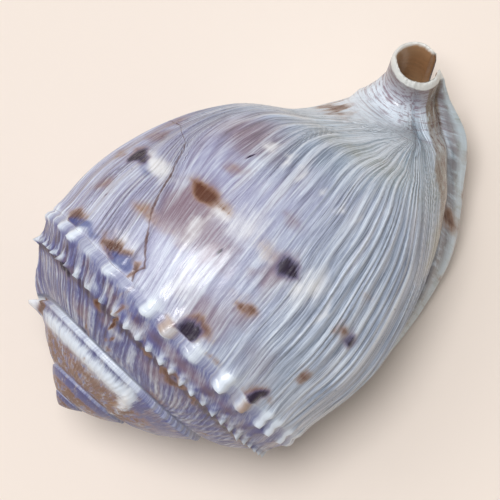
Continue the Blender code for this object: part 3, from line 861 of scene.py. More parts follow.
@dataclass
class SkinMesh:
    """One closed mesh put together from grids, with values kept at each of its points."""

    points: list[np.ndarray] = field(default_factory=list)
    values: list[np.ndarray] = field(default_factory=list)
    quads: list[np.ndarray] = field(default_factory=list)
    triangles: list[np.ndarray] = field(default_factory=list)
    count: int = 0

    def add(self, points: np.ndarray, values: np.ndarray) -> np.ndarray:
        """Adds points with their values.

        Args:
            points: Points of any grid shape, with x, y and z last.
            values: Values at the points, in the same grid shape, with the channels last.

        Returns:
            The numbers of the new points, in the grid's shape.
        """
        shape = points.shape[:-1]
        size = int(np.prod(shape))
        self.points.append(points.reshape(size, 3))
        self.values.append(np.broadcast_to(values, shape + values.shape[-1:]).reshape(size, -1))
        numbers = np.arange(self.count, self.count + size).reshape(shape)
        self.count += size
        return numbers

    def grid(self, numbers: np.ndarray) -> None:
        """Adds the squares between the neighbours of a grid of point numbers."""
        corners = [numbers[:-1, :-1], numbers[1:, :-1], numbers[1:, 1:], numbers[:-1, 1:]]
        self.quads.append(np.stack(corners, -1).reshape(-1, 4))

    def build(self, name: str, channels: tuple[str, ...]) -> bpy.types.Object:
        """Makes the object, and keeps each channel as an attribute of its points.

        Args:
            name: Name of the object.
            channels: Names of the values' channels.

        Returns:
            The new object.
        """
        points = np.concatenate(self.points)
        values = np.concatenate(self.values)
        quads = np.concatenate(self.quads)
        loose = np.concatenate(self.triangles)
        double = [quads[:, i] == quads[:, (i + 1) % 4] for i in range(4)]
        whole = ~np.any(double, axis=0)
        thin = [np.delete(quads[rows], i, axis=1) for i, rows in enumerate(double) if rows.any()]
        thin = np.concatenate([loose] + thin)
        corners = [thin[:, 0] != thin[:, 1], thin[:, 1] != thin[:, 2], thin[:, 2] != thin[:, 0]]
        thin = thin[np.all(corners, axis=0)]
        faces = np.concatenate([quads[whole].ravel(), thin.ravel()])
        sizes = np.concatenate([np.full(whole.sum(), 4), np.full(len(thin), 3)])
        used, faces = np.unique(faces, return_inverse=True)
        mesh = bpy.data.meshes.new(name)
        mesh.vertices.add(len(used))
        mesh.vertices.foreach_set("co", points[used].astype(np.float32).ravel())
        mesh.loops.add(len(faces))
        mesh.loops.foreach_set("vertex_index", faces.astype(np.int32).ravel())
        mesh.polygons.add(len(sizes))
        starts = np.concatenate([[0], np.cumsum(sizes)[:-1]])
        mesh.polygons.foreach_set("loop_start", starts.astype(np.int32))
        mesh.polygons.foreach_set("use_smooth", np.ones(len(sizes), bool))
        mesh.update(calc_edges=True)
        mesh.validate()
        for number, channel in enumerate(channels):
            layer = mesh.attributes.new(channel, "FLOAT", "POINT")
            layer.data.foreach_set("value", values[used, number].astype(np.float32))
        shell = bpy.data.objects.new(name, mesh)
        bpy.context.scene.collection.objects.link(shell)
        return shell


CHANNELS = (
    "line", "row", "phase", "ribs", "relief", "side", "inside", "canal", "flange", "white", "scar", "groove",
    *(tint.value for tint in Tint),
)


@dataclass
class ShellBuilder:
    """Builds the shell as one closed skin: spire, last whorl, hollow, lip and canal rim."""

    growth: Growth = Growth()
    relief: Relief = Relief()
    markings: Markings = Markings()
    first_angle: float = -1129.0
    columns_per_whorl: int = 720
    slope_shares: tuple = (0.0, 0.07, 0.16, 0.26, 0.36, 0.46, 0.55, 0.61, 0.65, 0.69, 0.75, 0.84, 0.94, 1.0)
    ledge_steps: int = 2
    body_rows: int = 66
    shoulder_rows: int = 8
    canal_rows: int = 13
    first_share: float = 0.025
    share_rate: float = 1.1
    hollow_steps: int = 54
    lip_steps: int = 3
    ledge_drop: float = 2.6
    ledge_undercut: float = 1.3
    slope_bulge: float = 2.3
    slope_bulge_rate: float = 0.009
    slope_out: tuple = (-0.6, 0.8)
    newest_angle: float = -146.0
    ledge_round: float = 0.35
    knob_out: tuple = (-0.75, 0.95)
    knob_fade: float = 0.034
    wall: float = 3.6
    canal_wall: float = 2.1
    hollow_end: float = -40.0
    hollow_reach: float = 27.0
    hollow_bulge: float = 1.5
    lip_section: tuple = ((216.0, 1.0), (222.0, 0.78), (228.0, 0.46), (231.5, 0.02))
    lip_rounding: float = 6.0
    lip_inner_angle: float = 229.0
    lip_inner_depth: float = 7.5
    tooth: float = 1.3
    rim_start: float = 0.984
    rim_round: float = 1.0
    rim_places: tuple = (0.5, 0.82, 0.96, 1.0)
    edge_softness: float = 0.5
    chip: float = 1.3
    white_knob: float = 2.7
    no_scar: float = 9.0
    end_swell: float = 2.5
    mesh: SkinMesh = field(default_factory=SkinMesh)

    def shares(self) -> tuple[np.ndarray, np.ndarray]:
        """Places of the slope's rows, as share up the slope and share down the ledge below it."""
        down = np.linspace(0.0, 1.0, self.ledge_steps + 1)[1:]
        share = np.concatenate([self.slope_shares, np.ones(self.ledge_steps)])
        return share, np.concatenate([np.zeros(len(self.slope_shares)), down])

    def rows(self) -> np.ndarray:
        """Places of the body's rows: close together below the shoulder and at the canal's rim."""
        last = self.body_rows - 1 - len(self.rim_places)
        numbers = (0, self.shoulder_rows, last - self.canal_rows, last)
        inside = np.interp(np.arange(last + 1), numbers, (0.0, 0.06, 0.8, self.rim_start))
        rim = self.rim_start + (1.0 - self.rim_start) * np.array(self.rim_places)
        return np.concatenate([inside, rim])

    def rim_inset(self, rows: np.ndarray) -> np.ndarray:
        """How far the canal's wall rounds over at its rim: a quarter of an ellipse."""
        share = np.clip((rows - self.rim_start) / (1.0 - self.rim_start), 0.0, 1.0)
        return self.rim_round * (1.0 - np.sqrt(1.0 - share**2))

    def body_share(self, rows: np.ndarray) -> np.ndarray:
        """Share of the body's length for a share of its rows."""
        return np.minimum(self.first_share + self.share_rate * rows, self.growth.last_share)

    def normals(self, grid: np.ndarray) -> np.ndarray:
        """Unit normals of a grid: the cross product of its steps along columns and rows.

        Args:
            grid: Points by column and row.

        Returns:
            A unit normal for each point.
        """
        normal = np.cross(np.gradient(grid, axis=0), np.gradient(grid, axis=1))
        length = np.linalg.norm(normal, axis=-1, keepdims=True)
        return normal / np.maximum(length, 1e-9)

    def slope(self, angles: np.ndarray, sutures: np.ndarray) -> tuple[np.ndarray, np.ndarray]:
        """Rows from the suture to the shoulder, then down over the ledge.

        Each row lies on the straight line from the suture to the shoulder, swollen outward by a
        parabola, and then moved by the relief. Knobs push the crest out and soften below it.

        Args:
            angles: Angles of the columns.
            sutures: Where each column starts.

        Returns:
            The points, and their tone.
        """
        growth, relief = self.growth, self.relief
        radius = growth.shoulder_radius(angles)
        size = np.clip(radius / growth.shoulder, 0.0, 1.1)
        shoulder = growth.on_axis(growth.shoulder_x(angles), radius, angles)
        share, below = self.shares()
        bulge = (self.slope_bulge + self.slope_bulge_rate * np.maximum(angles, 0.0)) * size
        along = share[None, :, None]
        line = sutures[:, None] * (1.0 - along) + shoulder[:, None] * along
        swell = 4.0 * share * (1.0 - share) * bulge[:, None]
        angle, place = np.meshgrid(angles, share, indexing="ij")
        detail, tone = relief.slope(angle, place)
        detail = detail * np.clip(size, 0.0, 1.0)[:, None]
        detail = detail * smooth_step(place / 0.08) * smooth_step((1.0 - place) / 0.05)
        grid = line + growth.on_axis(*self.slope_out, angles)[:, None] * (swell + detail)[..., None]
        drop = self.ledge_drop * np.clip(size, 0.0, 1.0)
        newest = smooth_step((angles - self.newest_angle) / 12.0)
        under = self.ledge_undercut * size * (1.0 - 0.85 * newest)
        ledge = growth.on_axis(growth.shoulder_x(angles) + drop, radius - under, angles)
        grid = grid + (ledge - shoulder)[:, None] * below[None, :, None]
        round_over = growth.on_axis(0.1, 1.0, angles)[:, None] * np.sin(np.pi * below)[None, :, None]
        knob = relief.knob_height(angles) * np.clip(size, 0.3, 1.0)
        crest = np.where(below > 0.0, 1.0 - 0.35 * below, smooth_step((share - 0.9) / 0.1))
        push = growth.on_axis(*self.knob_out, angles)[:, None] * (knob[:, None] * crest)[..., None]
        # foot is painted shadow on the slope just below each knob; the knobs' light tone is their white
        # colour.
        foot = 0.5 * knob[:, None] * bell(place, 0.88, 0.06)
        tone = tone * smooth_step((1.0 - place) / 0.1) + 0.4 * knob[:, None] * crest - foot
        return grid + self.ledge_round * round_over * size[:, None, None] + push, tone

    def outer(self, angles: np.ndarray, rows: np.ndarray) -> tuple[np.ndarray, np.ndarray]:
        """Outer face of the last whorl below the shoulder, moved out by its relief.

        Args:
            angles: Angles of the columns.
            rows: Places of the rows.

        Returns:
            The points, and their tone.
        """
        growth, relief = self.growth, self.relief
        angle, row = np.meshgrid(angles, rows, indexing="ij")
        share, flare = self.body_share(row), growth.lip_flare(angle, row)
        radius = growth.body_radius(angle, share) + growth.callus(angle, share) + flare
        body = growth.on_axis(growth.body_x(angle, share), radius, angle)
        inset = self.rim_inset(row) - flare
        grid = growth.blended(row, body, growth.canal_points(row, growth.canal_angle(angle, row), inset))
        line = relief.lines.line(angle, row)
        edges = smooth_step((angle - self.newest_angle) / 14.0) * smooth_step((208.5 - angle) / 4.0)
        calm = edges * smooth_step((1.6 - growth.callus(angle, share)) / 0.8)
        clear = 1.0 - relief.groove(angle, row)
        detail = relief.ribs(line, row) * clear + relief.striae(line, row) + relief.scar(angle, row)
        groove = -0.2 * bell(row, 0.010, 0.013) * smooth_step((angle - 36.0) / 14.0)
        detail = (detail + groove) * calm + relief.collar(angle, row) * edges
        knob = relief.knob_height(angle)
        fade = np.exp(-((row / self.knob_fade) ** 1.8))
        push = growth.on_axis(-0.12, 1.0, angle) * (0.75 * knob * fade)[..., None]
        tone = 0.45 * knob * np.exp(-((row / 0.02) ** 2))
        return grid + self.normals(grid) * detail[..., None] + push, tone

    def hollow_wall(self, rows: np.ndarray, step: np.ndarray) -> np.ndarray:
        """The hollow's outer wall, from the lip's inner edge back to the blind end.

        It lies one wall's depth inside the body's own radius, and deeper at the toothed lip.

        Args:
            rows: Places of the rows.
            step: How far each column lies from the lip, up to the hollow's reach.

        Returns:
            Points by column and row.
        """
        growth = self.growth
        share = self.body_share(rows)
        row = rows[None, :] + 0.0 * step
        start = 0.45 + 0.55 * smooth_step(row / 0.08)
        angle = self.lip_inner_angle + (self.hollow_end - self.lip_inner_angle) * step / self.hollow_reach
        angle = angle + 0.0 * row
        depth = self.wall + (self.lip_inner_depth - self.wall) * np.exp(-step) * start
        below = share + 0.03 * (1.0 - share)
        teeth = (0.5 + 0.5 * np.cos(row * 75.0)) * smooth_step(row / 0.25) * smooth_step((0.8 - row) / 0.1)
        depth = depth + self.tooth * teeth * np.exp(-0.9 * step)
        radius = growth.body_radius(angle, below) - depth
        body = growth.on_axis(growth.body_x(angle, below), radius, angle)
        turn = growth.canal_angle(np.minimum(angle, growth.lip_angle), row)
        inset = self.canal_wall - self.rim_inset(row)
        return growth.blended(row, body, growth.canal_points(row, turn, inset))

    def hollow_core(self, rows: np.ndarray, step: np.ndarray) -> np.ndarray:
        """The hollow's core, from the blind end out to the parietal line.

        It is the body one whorl earlier, thinned towards the canal.

        Args:
            rows: Places of the rows.
            step: How far each column lies from the parietal line, up to the hollow's reach.

        Returns:
            Points by column and row.
        """
        growth = self.growth
        share = self.body_share(rows)
        row = rows[None, :] + 0.0 * step
        thin = 1.0 - 0.96 * smooth_step((row - 0.4) / 0.24)
        spread = smooth_step((row - 0.66) / 0.24)
        half_width = np.interp(row, *np.array(growth.canal_stations).T[[0, 4]])
        angle = growth.lip_angle - 360.0 + (self.hollow_end - growth.lip_angle) * step / self.hollow_reach
        angle = angle + 0.0 * row
        ease = smooth_step(step / 3.0)
        below = share + 0.06 * (1.0 - share) * ease
        own_x, outer_x = growth.body_x(angle, below), growth.body_x(angle + 360.0, below)
        level = smooth_step(step / 9.0) * smooth_step((share - 0.1) / 0.5)
        radius = growth.body_radius(angle, below) * (1.0 - 0.06 * ease) * (1.0 + (thin - 1.0) * ease)
        body = growth.on_axis(own_x + (outer_x - own_x) * level, radius, angle)
        back = growth.canal_angle(self.hollow_end, row) - growth.canal_first_angle
        turn = growth.canal_first_angle + back * (step + 0.5) / (self.hollow_reach + 1.0)
        full = half_width + (self.canal_wall - self.rim_inset(row) - half_width) * spread
        return growth.blended(row, body, growth.canal_points(row, turn, full * ease))

    def hollow(self, rows: np.ndarray, parietal: np.ndarray) -> np.ndarray:
        """Inner face: back along the outer wall to the blind end, and out again along the core.

        The canal's slices take over near the tip.

        Args:
            rows: Places of the rows.
            parietal: The line of the outer face where the core ends.

        Returns:
            Points by column and row, from the lip's inner edge round to the parietal line.
        """
        step = np.linspace(0.0, self.hollow_reach, self.hollow_steps + 1)[:, None]
        wall, core = self.hollow_wall(rows, step), self.hollow_core(rows, step[::-1])
        core[-1] = parietal
        middle = 0.5 * (wall[-1] + core[0])
        push = self.growth.on_axis(0.0, self.hollow_bulge, self.hollow_end - 90.0)
        end = middle + push * (1.0 - smooth_step((rows - 0.2) / 0.3))[:, None]
        return np.concatenate([wall, end[None], core])

    def lip(self, rows: np.ndarray, outer_edge: np.ndarray, inner_edge: np.ndarray) -> np.ndarray:
        """The lip's rounded face between its outer edge and its toothed inner edge.

        Args:
            rows: Places of the rows.
            outer_edge: Last column of the outer face.
            inner_edge: First column of the inner face.

        Returns:
            Points by column and row.
        """
        growth = self.growth
        share, flare = self.body_share(rows), growth.flare_size(rows)
        section = np.array(((growth.lip_angle, 1.0),) + self.lip_section)
        places = np.linspace(0.0, len(section) - 1.0, (len(section) - 1) * self.lip_steps + 1)[1:]
        angle = np.interp(places, np.arange(len(section)), section[:, 0])[:, None]
        rise = np.interp(places, np.arange(len(section)), section[:, 1])[:, None]
        part = (places / len(section))[:, None]
        radius = growth.body_radius(growth.lip_angle, share) + rise * flare
        body = growth.on_axis(growth.body_x(growth.lip_angle, share), radius, angle)
        round_over = self.rim_inset(rows) * (1.0 - 2.0 * part)
        inset = self.canal_wall * part - flare * rise + round_over
        turn = growth.last_angle(rows) + self.lip_rounding * np.sin(np.pi * part)
        row = rows[None, :] + 0.0 * part
        middle = growth.blended(row, body, growth.canal_points(row, turn, inset))
        return np.concatenate([outer_edge[None], middle, inner_edge[None]])

    def zipper(self, first: np.ndarray, turns: np.ndarray, second: np.ndarray, others: np.ndarray) -> None:
        """Joins two chains of points with triangles, side by side in angle.

        The steps of both chains are sorted by angle, and each one makes a triangle with the
        point that the other chain has reached.

        Args:
            first: Point numbers of the first chain.
            turns: Angles of the first chain's points.
            second: Point numbers of the second chain.
            others: Angles of the second chain's points.
        """
        order = np.argsort(np.concatenate([turns[1:], others[1:]]), kind="stable")
        on_first = order < len(turns) - 1
        a = np.concatenate([[0], np.cumsum(on_first)[:-1]])
        b = np.concatenate([[0], np.cumsum(~on_first)[:-1]])
        next_a, next_b = np.minimum(a + 1, len(first) - 1), np.minimum(b + 1, len(second) - 1)
        one = np.stack([first[a], first[next_a], second[b]], -1)
        other = np.stack([first[a], second[next_b], second[b]], -1)
        self.mesh.triangles.append(np.where(on_first[:, None], one, other))

    def knob_white(self, angle: np.ndarray) -> np.ndarray:
        """How white the knobs of the last whorl are: the square of their height, up to 1."""
        height = np.clip(self.relief.knob_height(angle) / self.white_knob, 0.0, 1.0)
        return height**2 * self.relief.on_last(angle)

    def whorl_white(self, angle: np.ndarray, share: np.ndarray) -> np.ndarray:
        """Where the slope is bleached: the last whorl's nodes, and the band before the old lip."""
        near_photo = smooth_step((angle - 40.0) / 12.0) * smooth_step((140.0 - angle) / 15.0)
        node = bell(share, 0.655, 0.05) * near_photo
        node = node * lattice(self.relief.node_phase(self.relief.slope_line(angle, share)) + 0.5, 41)
        gap = self.relief.varix_gap(angle, share)
        band = smooth_step((share - 0.45) / 0.2)
        band = band * smooth_step((angle + 345.0) / 30.0) * (1.0 - smooth_step((gap - 3.0) / 3.0))
        tips = self.knob_white(angle) * smooth_step((share - 0.93) / 0.07)
        node = np.maximum(0.5 * node, tips)
        return np.maximum(node, 0.4 * band * smooth_step((-200.0 - angle) / 10.0))

    def body_white(self, line: np.ndarray, row: np.ndarray) -> np.ndarray:
        """Where the body is made white: a painted sheen just past the scar, and on knob tips."""
        # Painted sheen: white streaks just past the scar below the shoulder, standing in for a gloss
        # highlight.
        painted_sheen = bell(line, 88.0, 10.0) * smooth_step((0.34 - row) / 0.3)
        tips = self.knob_white(line) * smooth_step((0.024 - row) / 0.02)
        return np.maximum(0.22 * painted_sheen, tips)

    def values(self, grid: np.ndarray, **channels: float | np.ndarray) -> np.ndarray:
        """Stacks the named channels over a grid of points, and leaves the others at 0."""
        channels.setdefault("scar", self.no_scar)
        shape = grid.shape[:-1]
        return np.stack([np.broadcast_to(channels.get(name, 0.0), shape) for name in CHANNELS], -1)

    def canal_share(self, rows: np.ndarray) -> np.ndarray:
        """How far a row belongs to the canal: an S curve over the last fifth of the rows."""
        return smooth_step((rows - 0.8) / 0.12)

    def placed(self, points: np.ndarray) -> np.ndarray:
        """Chips the canal's rim, and sets the points on the ground, inside the solid's box.

        Args:
            points: Points about the axis, in millimetres.

        Returns:
            Points in metres.
        """
        growth = self.growth
        row = np.concatenate(self.mesh.values)[:, CHANNELS.index("row")]
        station = np.array(growth.canal_stations[-1])
        turn = np.arctan2(points[:, 1] - station[2], points[:, 0] - station[1])
        breaks = lattice(turn * 2.0 + 20.0, 61) + 0.35 * lattice(turn * 9.0 + 70.0, 62)
        chips = self.chip * (breaks - 0.75)
        pitch = np.radians(station[6])
        ahead = np.array([np.cos(pitch), 0.0, np.sin(pitch)])
        points = points + ahead * (chips * smooth_step((row - 0.98) / 0.015))[:, None]
        out = points + np.array([growth.apex_x, growth.axis_y, growth.axis_height])
        low, high = (np.array(corner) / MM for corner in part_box("shell"))
        return soft_limit(out, low, high, self.edge_softness) * MM

    def add_slope(self, angles: np.ndarray) -> tuple[np.ndarray, np.ndarray]:
        """Adds the spiral strip from the suture over the shoulder, on all whorls.

        Each whorl starts on the edge that the whorl before it ended on, so the first pass finds
        the edges and the second lays the strip between them.

        Args:
            angles: Angles of the columns.

        Returns:
            The strip's points and their numbers, by column and row.
        """
        mesh, relief, whorl = self.mesh, self.relief, self.columns_per_whorl
        columns = len(angles)
        ledge, _ = self.slope(angles, np.zeros((columns, 3)))
        sutures = np.vstack([np.zeros((whorl, 3)), ledge[: columns - whorl, -1]])
        slope, height = self.slope(angles, sutures)
        share, below = self.shares()
        steps = len(share) - 1
        apex = mesh.add(np.zeros((1, 3)), self.values(np.zeros((1, 3))))[0]
        angle, place = np.meshgrid(angles, share, indexing="ij")
        line = relief.slope_line(angle, place)
        phase, ribs = relief.slope_ribs(line, place)
        values = self.values(
            slope, line=line, row=place - 1.0, relief=height, phase=phase, ribs=ribs * (1.0 - below),
            side=1.0 - 0.5 * below, white=self.whorl_white(angle, place),
            **self.markings.channels(self.markings.slope, angle, place),
        )
        numbers = np.full((columns, steps + 1), apex)
        numbers[1:, 1:] = mesh.add(slope[1:, 1:], values[1:, 1:])
        numbers[0, steps] = mesh.add(slope[:1, steps], values[:1, steps])[0]
        numbers[whorl:, 0] = numbers[: columns - whorl, steps]
        mesh.grid(numbers)
        return slope, numbers

    def add_outer(
        self, angles: np.ndarray, rows: np.ndarray, edge: np.ndarray, edge_numbers: np.ndarray
    ) -> tuple[np.ndarray, np.ndarray]:
        """Adds the outer face of the last whorl, from the shoulder to the canal's rim.

        Args:
            angles: Angles of the columns.
            rows: Places of the rows.
            edge: The slope's lower edge, which the face starts from.
            edge_numbers: Numbers of that edge's points.

        Returns:
            The face's points and their numbers, by column and row.
        """
        relief = self.relief
        outer, height = self.outer(angles, rows)
        outer[:, 0] = edge
        angle, row = np.meshgrid(angles, rows, indexing="ij")
        line = relief.lines.line(angle, row)
        gap = np.clip(relief.scar_gap(angle, row) + 1.0, -8.0, 8.0)
        groove = relief.groove(angle, row)
        values = self.values(
            outer, line=line, row=row, relief=height, phase=relief.rib_phase(line),
            ribs=relief.rib_strength(line, row) * (1.0 - groove), flange=smooth_step((angle - 203.0) / 5.0),
            canal=self.canal_share(row), scar=gap + self.no_scar * smooth_step((row - 0.42) / 0.03),
            groove=groove, white=self.body_white(line, row),
            **self.markings.channels(self.markings.body, angle, row),
        )
        numbers = np.zeros(outer.shape[:2], int)
        numbers[:, 0] = edge_numbers
        numbers[:, 1:] = self.mesh.add(outer[:, 1:], values[:, 1:])
        self.mesh.grid(numbers)
        return outer, numbers

    def add_hollow(
        self, rows: np.ndarray, parietal: np.ndarray, parietal_numbers: np.ndarray
    ) -> tuple[np.ndarray, np.ndarray]:
        """Adds the inner face, from the lip's inner edge round to the parietal line.

        Args:
            rows: Places of the rows.
            parietal: The line of the outer face where the core ends.
            parietal_numbers: Numbers of that line's points.

        Returns:
            The face's points and their numbers, by column and row.
        """
        inner = self.hollow(rows, parietal)
        values = self.values(inner, row=rows, inside=1.0, canal=self.canal_share(rows))
        numbers = np.zeros(inner.shape[:2], int)
        numbers[:-1] = self.mesh.add(inner[:-1], values[:-1])
        numbers[-1] = parietal_numbers
        self.mesh.grid(numbers)
        return inner, numbers

    def add_roof(self, steps: int, inner: np.ndarray, numbers: np.ndarray) -> tuple[np.ndarray, np.ndarray]:
        """Adds the hollow's roof: an arched ribbon under the slope, pointed at its far end.

        Args:
            steps: Steps across the ribbon, as many as the slope has.
            inner: Points of the inner face.
            numbers: Numbers of the inner face's points.

        Returns:
            The ribbon's points and their numbers, by column and step.
        """
        hollow = self.hollow_steps
        turns = np.linspace(self.growth.lip_angle, self.hollow_end, hollow + 1)
        part = np.linspace(0.0, 1.0, steps + 1)[None, :, None]
        front, back = inner[: hollow + 1, :1], inner[::-1][: hollow + 1, :1]
        arch = self.growth.on_axis(0.0, 1.0, turns)[:, None] * np.sin(np.pi * part)
        ribbon = front * part + back * (1.0 - part) + arch
        roof = np.zeros((hollow + 1, steps + 1), int)
        roof[:, 0] = numbers[::-1][: hollow + 1, 0]
        roof[:, -1] = numbers[: hollow + 1, 0]
        middle = ribbon[:, 1:-1]
        roof[:, 1:-1] = self.mesh.add(middle, self.values(middle, inside=1.0))
        self.mesh.grid(roof)
        end = np.full(steps, numbers[hollow + 1, 0])
        self.mesh.triangles.append(np.stack([roof[-1, :-1], end, roof[-1, 1:]], -1))
        return ribbon, roof

    def add_lip(
        self, rows: np.ndarray, edges: tuple[np.ndarray, np.ndarray], numbers: tuple[np.ndarray, np.ndarray]
    ) -> np.ndarray:
        """Adds the lip's rounded face.

        Args:
            rows: Places of the rows.
            edges: Its outer edge and its inner edge.
            numbers: Numbers of the points of both edges.

        Returns:
            The numbers of the face's points, by column and row.
        """
        lip = self.lip(rows, *edges)
        part = np.linspace(0.0, 1.0, len(lip))[:, None]
        values = self.values(
            lip, line=self.growth.lip_angle, row=rows, flange=1.0,
            inside=smooth_step((part - 0.35) / 0.5), canal=self.canal_share(rows),
        )
        lip_numbers = np.zeros(lip.shape[:2], int)
        lip_numbers[1:-1] = self.mesh.add(lip[1:-1], values[1:-1])
        lip_numbers[0], lip_numbers[-1] = numbers
        self.mesh.grid(lip_numbers)
        return lip_numbers

    def add_end(
        self, edges: tuple[np.ndarray, np.ndarray], numbers: tuple[np.ndarray, np.ndarray], lip: np.ndarray
    ) -> None:
        """Adds the small face that closes the slope above the lip: a swollen sheet.

        Args:
            edges: The slope's last column and the roof's first one.
            numbers: Numbers of the points of both columns.
            lip: Numbers of the lip's points along the shoulder.
        """
        slope, roof = edges
        steps = len(slope) - 1
        face = np.zeros((len(lip), steps + 1), int)
        face[0], face[-1] = numbers
        face[:, -1] = lip
        face[:, 0] = numbers[0][0]
        part = np.linspace(0.0, 1.0, len(lip))[1:-1, None, None]
        swell = 4.0 * part * (1.0 - part) * np.linspace(0.3, 1.0, steps - 1)[None, :, None]
        push = self.growth.on_axis(0.0, self.end_swell, self.growth.lip_angle + 90.0)
        sheet = slope[1:-1] * (1.0 - part) + roof[1:-1] * part + swell * push
        face[1:-1, 1:-1] = self.mesh.add(sheet, self.values(sheet, flange=1.0, side=0.5))
        self.mesh.grid(face)

    def add_rim(self, outer: np.ndarray, inner: np.ndarray, lip: np.ndarray) -> None:
        """Closes the canal's rim between the outer face and the inner one.

        Args:
            outer: Numbers of the outer face's points.
            inner: Numbers of the inner face's points.
            lip: Numbers of the lip's points.
        """
        growth = self.growth
        half = len(lip) // 2
        outside = np.concatenate([outer[:, -1], lip[1:half, -1]])
        inside = np.concatenate([inner[::-1, -1], lip[half:-1, -1][::-1]])
        tail = growth.canal_last_angle - growth.canal_first_angle
        back = growth.canal_angle(self.hollow_end, 1.0) - growth.canal_first_angle
        core = self.hollow_steps + 2
        others = np.concatenate([np.linspace(0.0, back, core), np.linspace(back, tail, len(inside) - core)])
        self.zipper(outside, np.linspace(0.0, tail, len(outside)), inside, others)

    def build(self) -> bpy.types.Object:
        """Puts the whole skin together, face by face, on shared edges.

        Returns:
            The shell's object, with its channels as attributes.
        """
        growth, whorl = self.growth, self.columns_per_whorl
        count = int(round((growth.lip_angle - self.first_angle) / 360.0 * whorl))
        angles = growth.lip_angle + (np.arange(count + 1) - count) * 360.0 / whorl
        start = count - whorl
        rows = self.rows()
        slope, numbers = self.add_slope(angles)
        outer, outer_numbers = self.add_outer(angles[start:], rows, slope[start:, -1], numbers[start:, -1])
        inner, inner_numbers = self.add_hollow(rows, outer[0], outer_numbers[0])
        ribbon, roof = self.add_roof(slope.shape[1] - 1, inner, inner_numbers)
        lip_numbers = self.add_lip(rows, (outer[-1], inner[0]), (outer_numbers[-1], inner_numbers[0]))
        self.add_end((slope[-1], ribbon[0]), (numbers[-1], roof[0]), lip_numbers[:, 0])
        self.add_rim(outer_numbers, inner_numbers, lip_numbers)
        self.mesh.points = [self.placed(np.concatenate(self.mesh.points))]
        return self.mesh.build("shell_skin", CHANNELS)


class Graph:
    """A material's nodes, made one call at a time."""

    def __init__(self, name: str) -> None:
        """Starts a material with an empty node tree."""
        self.material = bpy.data.materials.new(name)
        self.material.use_nodes = True
        self.tree = self.material.node_tree
        self.tree.nodes.clear()

    def put(self, socket: bpy.types.NodeSocket, value: object) -> None:
        """Links a value into a socket, or sets the socket if it is a constant."""
        if isinstance(value, Value):
            self.tree.links.new(value.socket, socket)
        else:
            socket.default_value = value

    def node(self, kind: str, settings: dict | None = None, sockets: dict | None = None) -> bpy.types.Node:
        """Adds a node.

        Args:
            kind: The node's type name.
            settings: Its properties.
            sockets: What goes into its inputs, by name or number.

        Returns:
            The new node.
        """
        node = self.tree.nodes.new(kind)
        for name, value in (settings or {}).items():
            setattr(node, name, value)
        for name, value in (sockets or {}).items():
            self.put(node.inputs[name], value)
        return node

    def attribute(self, name: str) -> "Value":
        """Reads one of the mesh's channels."""
        node = self.node("ShaderNodeAttribute", {"attribute_name": name})
        return Value(self, node.outputs["Fac"])

    def vector(self, x: object, y: object, z: object) -> "Value":
        """Puts three numbers into a vector."""
        node = self.node("ShaderNodeCombineXYZ", {}, {0: x, 1: y, 2: z})
        return Value(self, node.outputs[0])

    def place(self) -> "Value":
        """Reads the place on the object, in metres."""
        return Value(self, self.node("ShaderNodeTexCoord").outputs["Object"])

    def noise(self, place: "Value", scale: float, detail: float = 3.0, rough: float = 0.5) -> "Value":
        """Reads fractal noise from 0 to 1 at a place."""
        sockets = {"Vector": place, "Scale": scale, "Detail": detail, "Roughness": rough}
        return Value(self, self.node("ShaderNodeTexNoise", {}, sockets).outputs["Fac"])

    def mix(self, share: object, first: object, second: object) -> "Value":
        """Blends two colours by a share."""
        node = self.node("ShaderNodeMix", {"data_type": "RGBA"}, {0: share, 6: first, 7: second})
        return Value(self, node.outputs[2])

    def bump(self, height: "Value", distance: float) -> "Value":
        """Turns a height into a bent normal."""
        sockets = {"Height": height, "Distance": distance, "Strength": 1.0}
        return Value(self, self.node("ShaderNodeBump", {}, sockets).outputs["Normal"])

    def finish(self, sockets: dict) -> bpy.types.Material:
        """Ends the material with one shader.

        Args:
            sockets: What goes into the shader's inputs, by name.

        Returns:
            The material, ready to assign.
        """
        shader = self.node("ShaderNodeBsdfPrincipled", {}, sockets)
        output = self.node("ShaderNodeOutputMaterial")
        self.tree.links.new(shader.outputs[0], output.inputs["Surface"])
        return self.material


class Value:
    """A socket that can be used in sums, so that shader formulas read as formulas."""

    def __init__(self, graph: Graph, socket: bpy.types.NodeSocket) -> None:
        """Wraps a socket of a graph."""
        self.graph = graph
        self.socket = socket

    def math(self, operation: str, *others: object) -> "Value":
        """Applies a Math node to this value and the others."""
        sockets = dict(enumerate((self,) + others))
        node = self.graph.node("ShaderNodeMath", {"operation": operation}, sockets)
        return Value(self.graph, node.outputs[0])

    def __add__(self, other: object) -> "Value":
        """This value plus the other."""
        return self.math("ADD", other)

    def __radd__(self, other: object) -> "Value":
        """The other plus this value."""
        return self.math("ADD", other)

    def __mul__(self, other: object) -> "Value":
        """This value times the other."""
        return self.math("MULTIPLY", other)

    def __rmul__(self, other: object) -> "Value":
        """The other times this value."""
        return self.math("MULTIPLY", other)

    def __sub__(self, other: object) -> "Value":
        """This value less the other."""
        return self.math("SUBTRACT", other)

    def __rsub__(self, other: object) -> "Value":
        """The other less this value."""
        return (self * -1.0).math("ADD", other)

    def sine(self) -> "Value":
        """The sine of this value, in radians."""
        return self.math("SINE")

    def least(self, other: object) -> "Value":
        """The smaller of this value and the other."""
        return self.math("MINIMUM", other)

    def most(self, other: object) -> "Value":
        """The larger of this value and the other."""
        return self.math("MAXIMUM", other)

    def ramp(self, start: float, stop: float) -> "Value":
        """An S curve from 0 at the start to 1 at the stop, which may be the smaller one."""
        sockets = {0: self, 1: start, 2: stop, 3: 0.0, 4: 1.0}
        settings = {"interpolation_type": "SMOOTHSTEP"}
        if start > stop:
            sockets.update({1: stop, 2: start, 3: 1.0, 4: 0.0})
        node = self.graph.node("ShaderNodeMapRange", settings, sockets)
        return Value(self.graph, node.outputs[0])


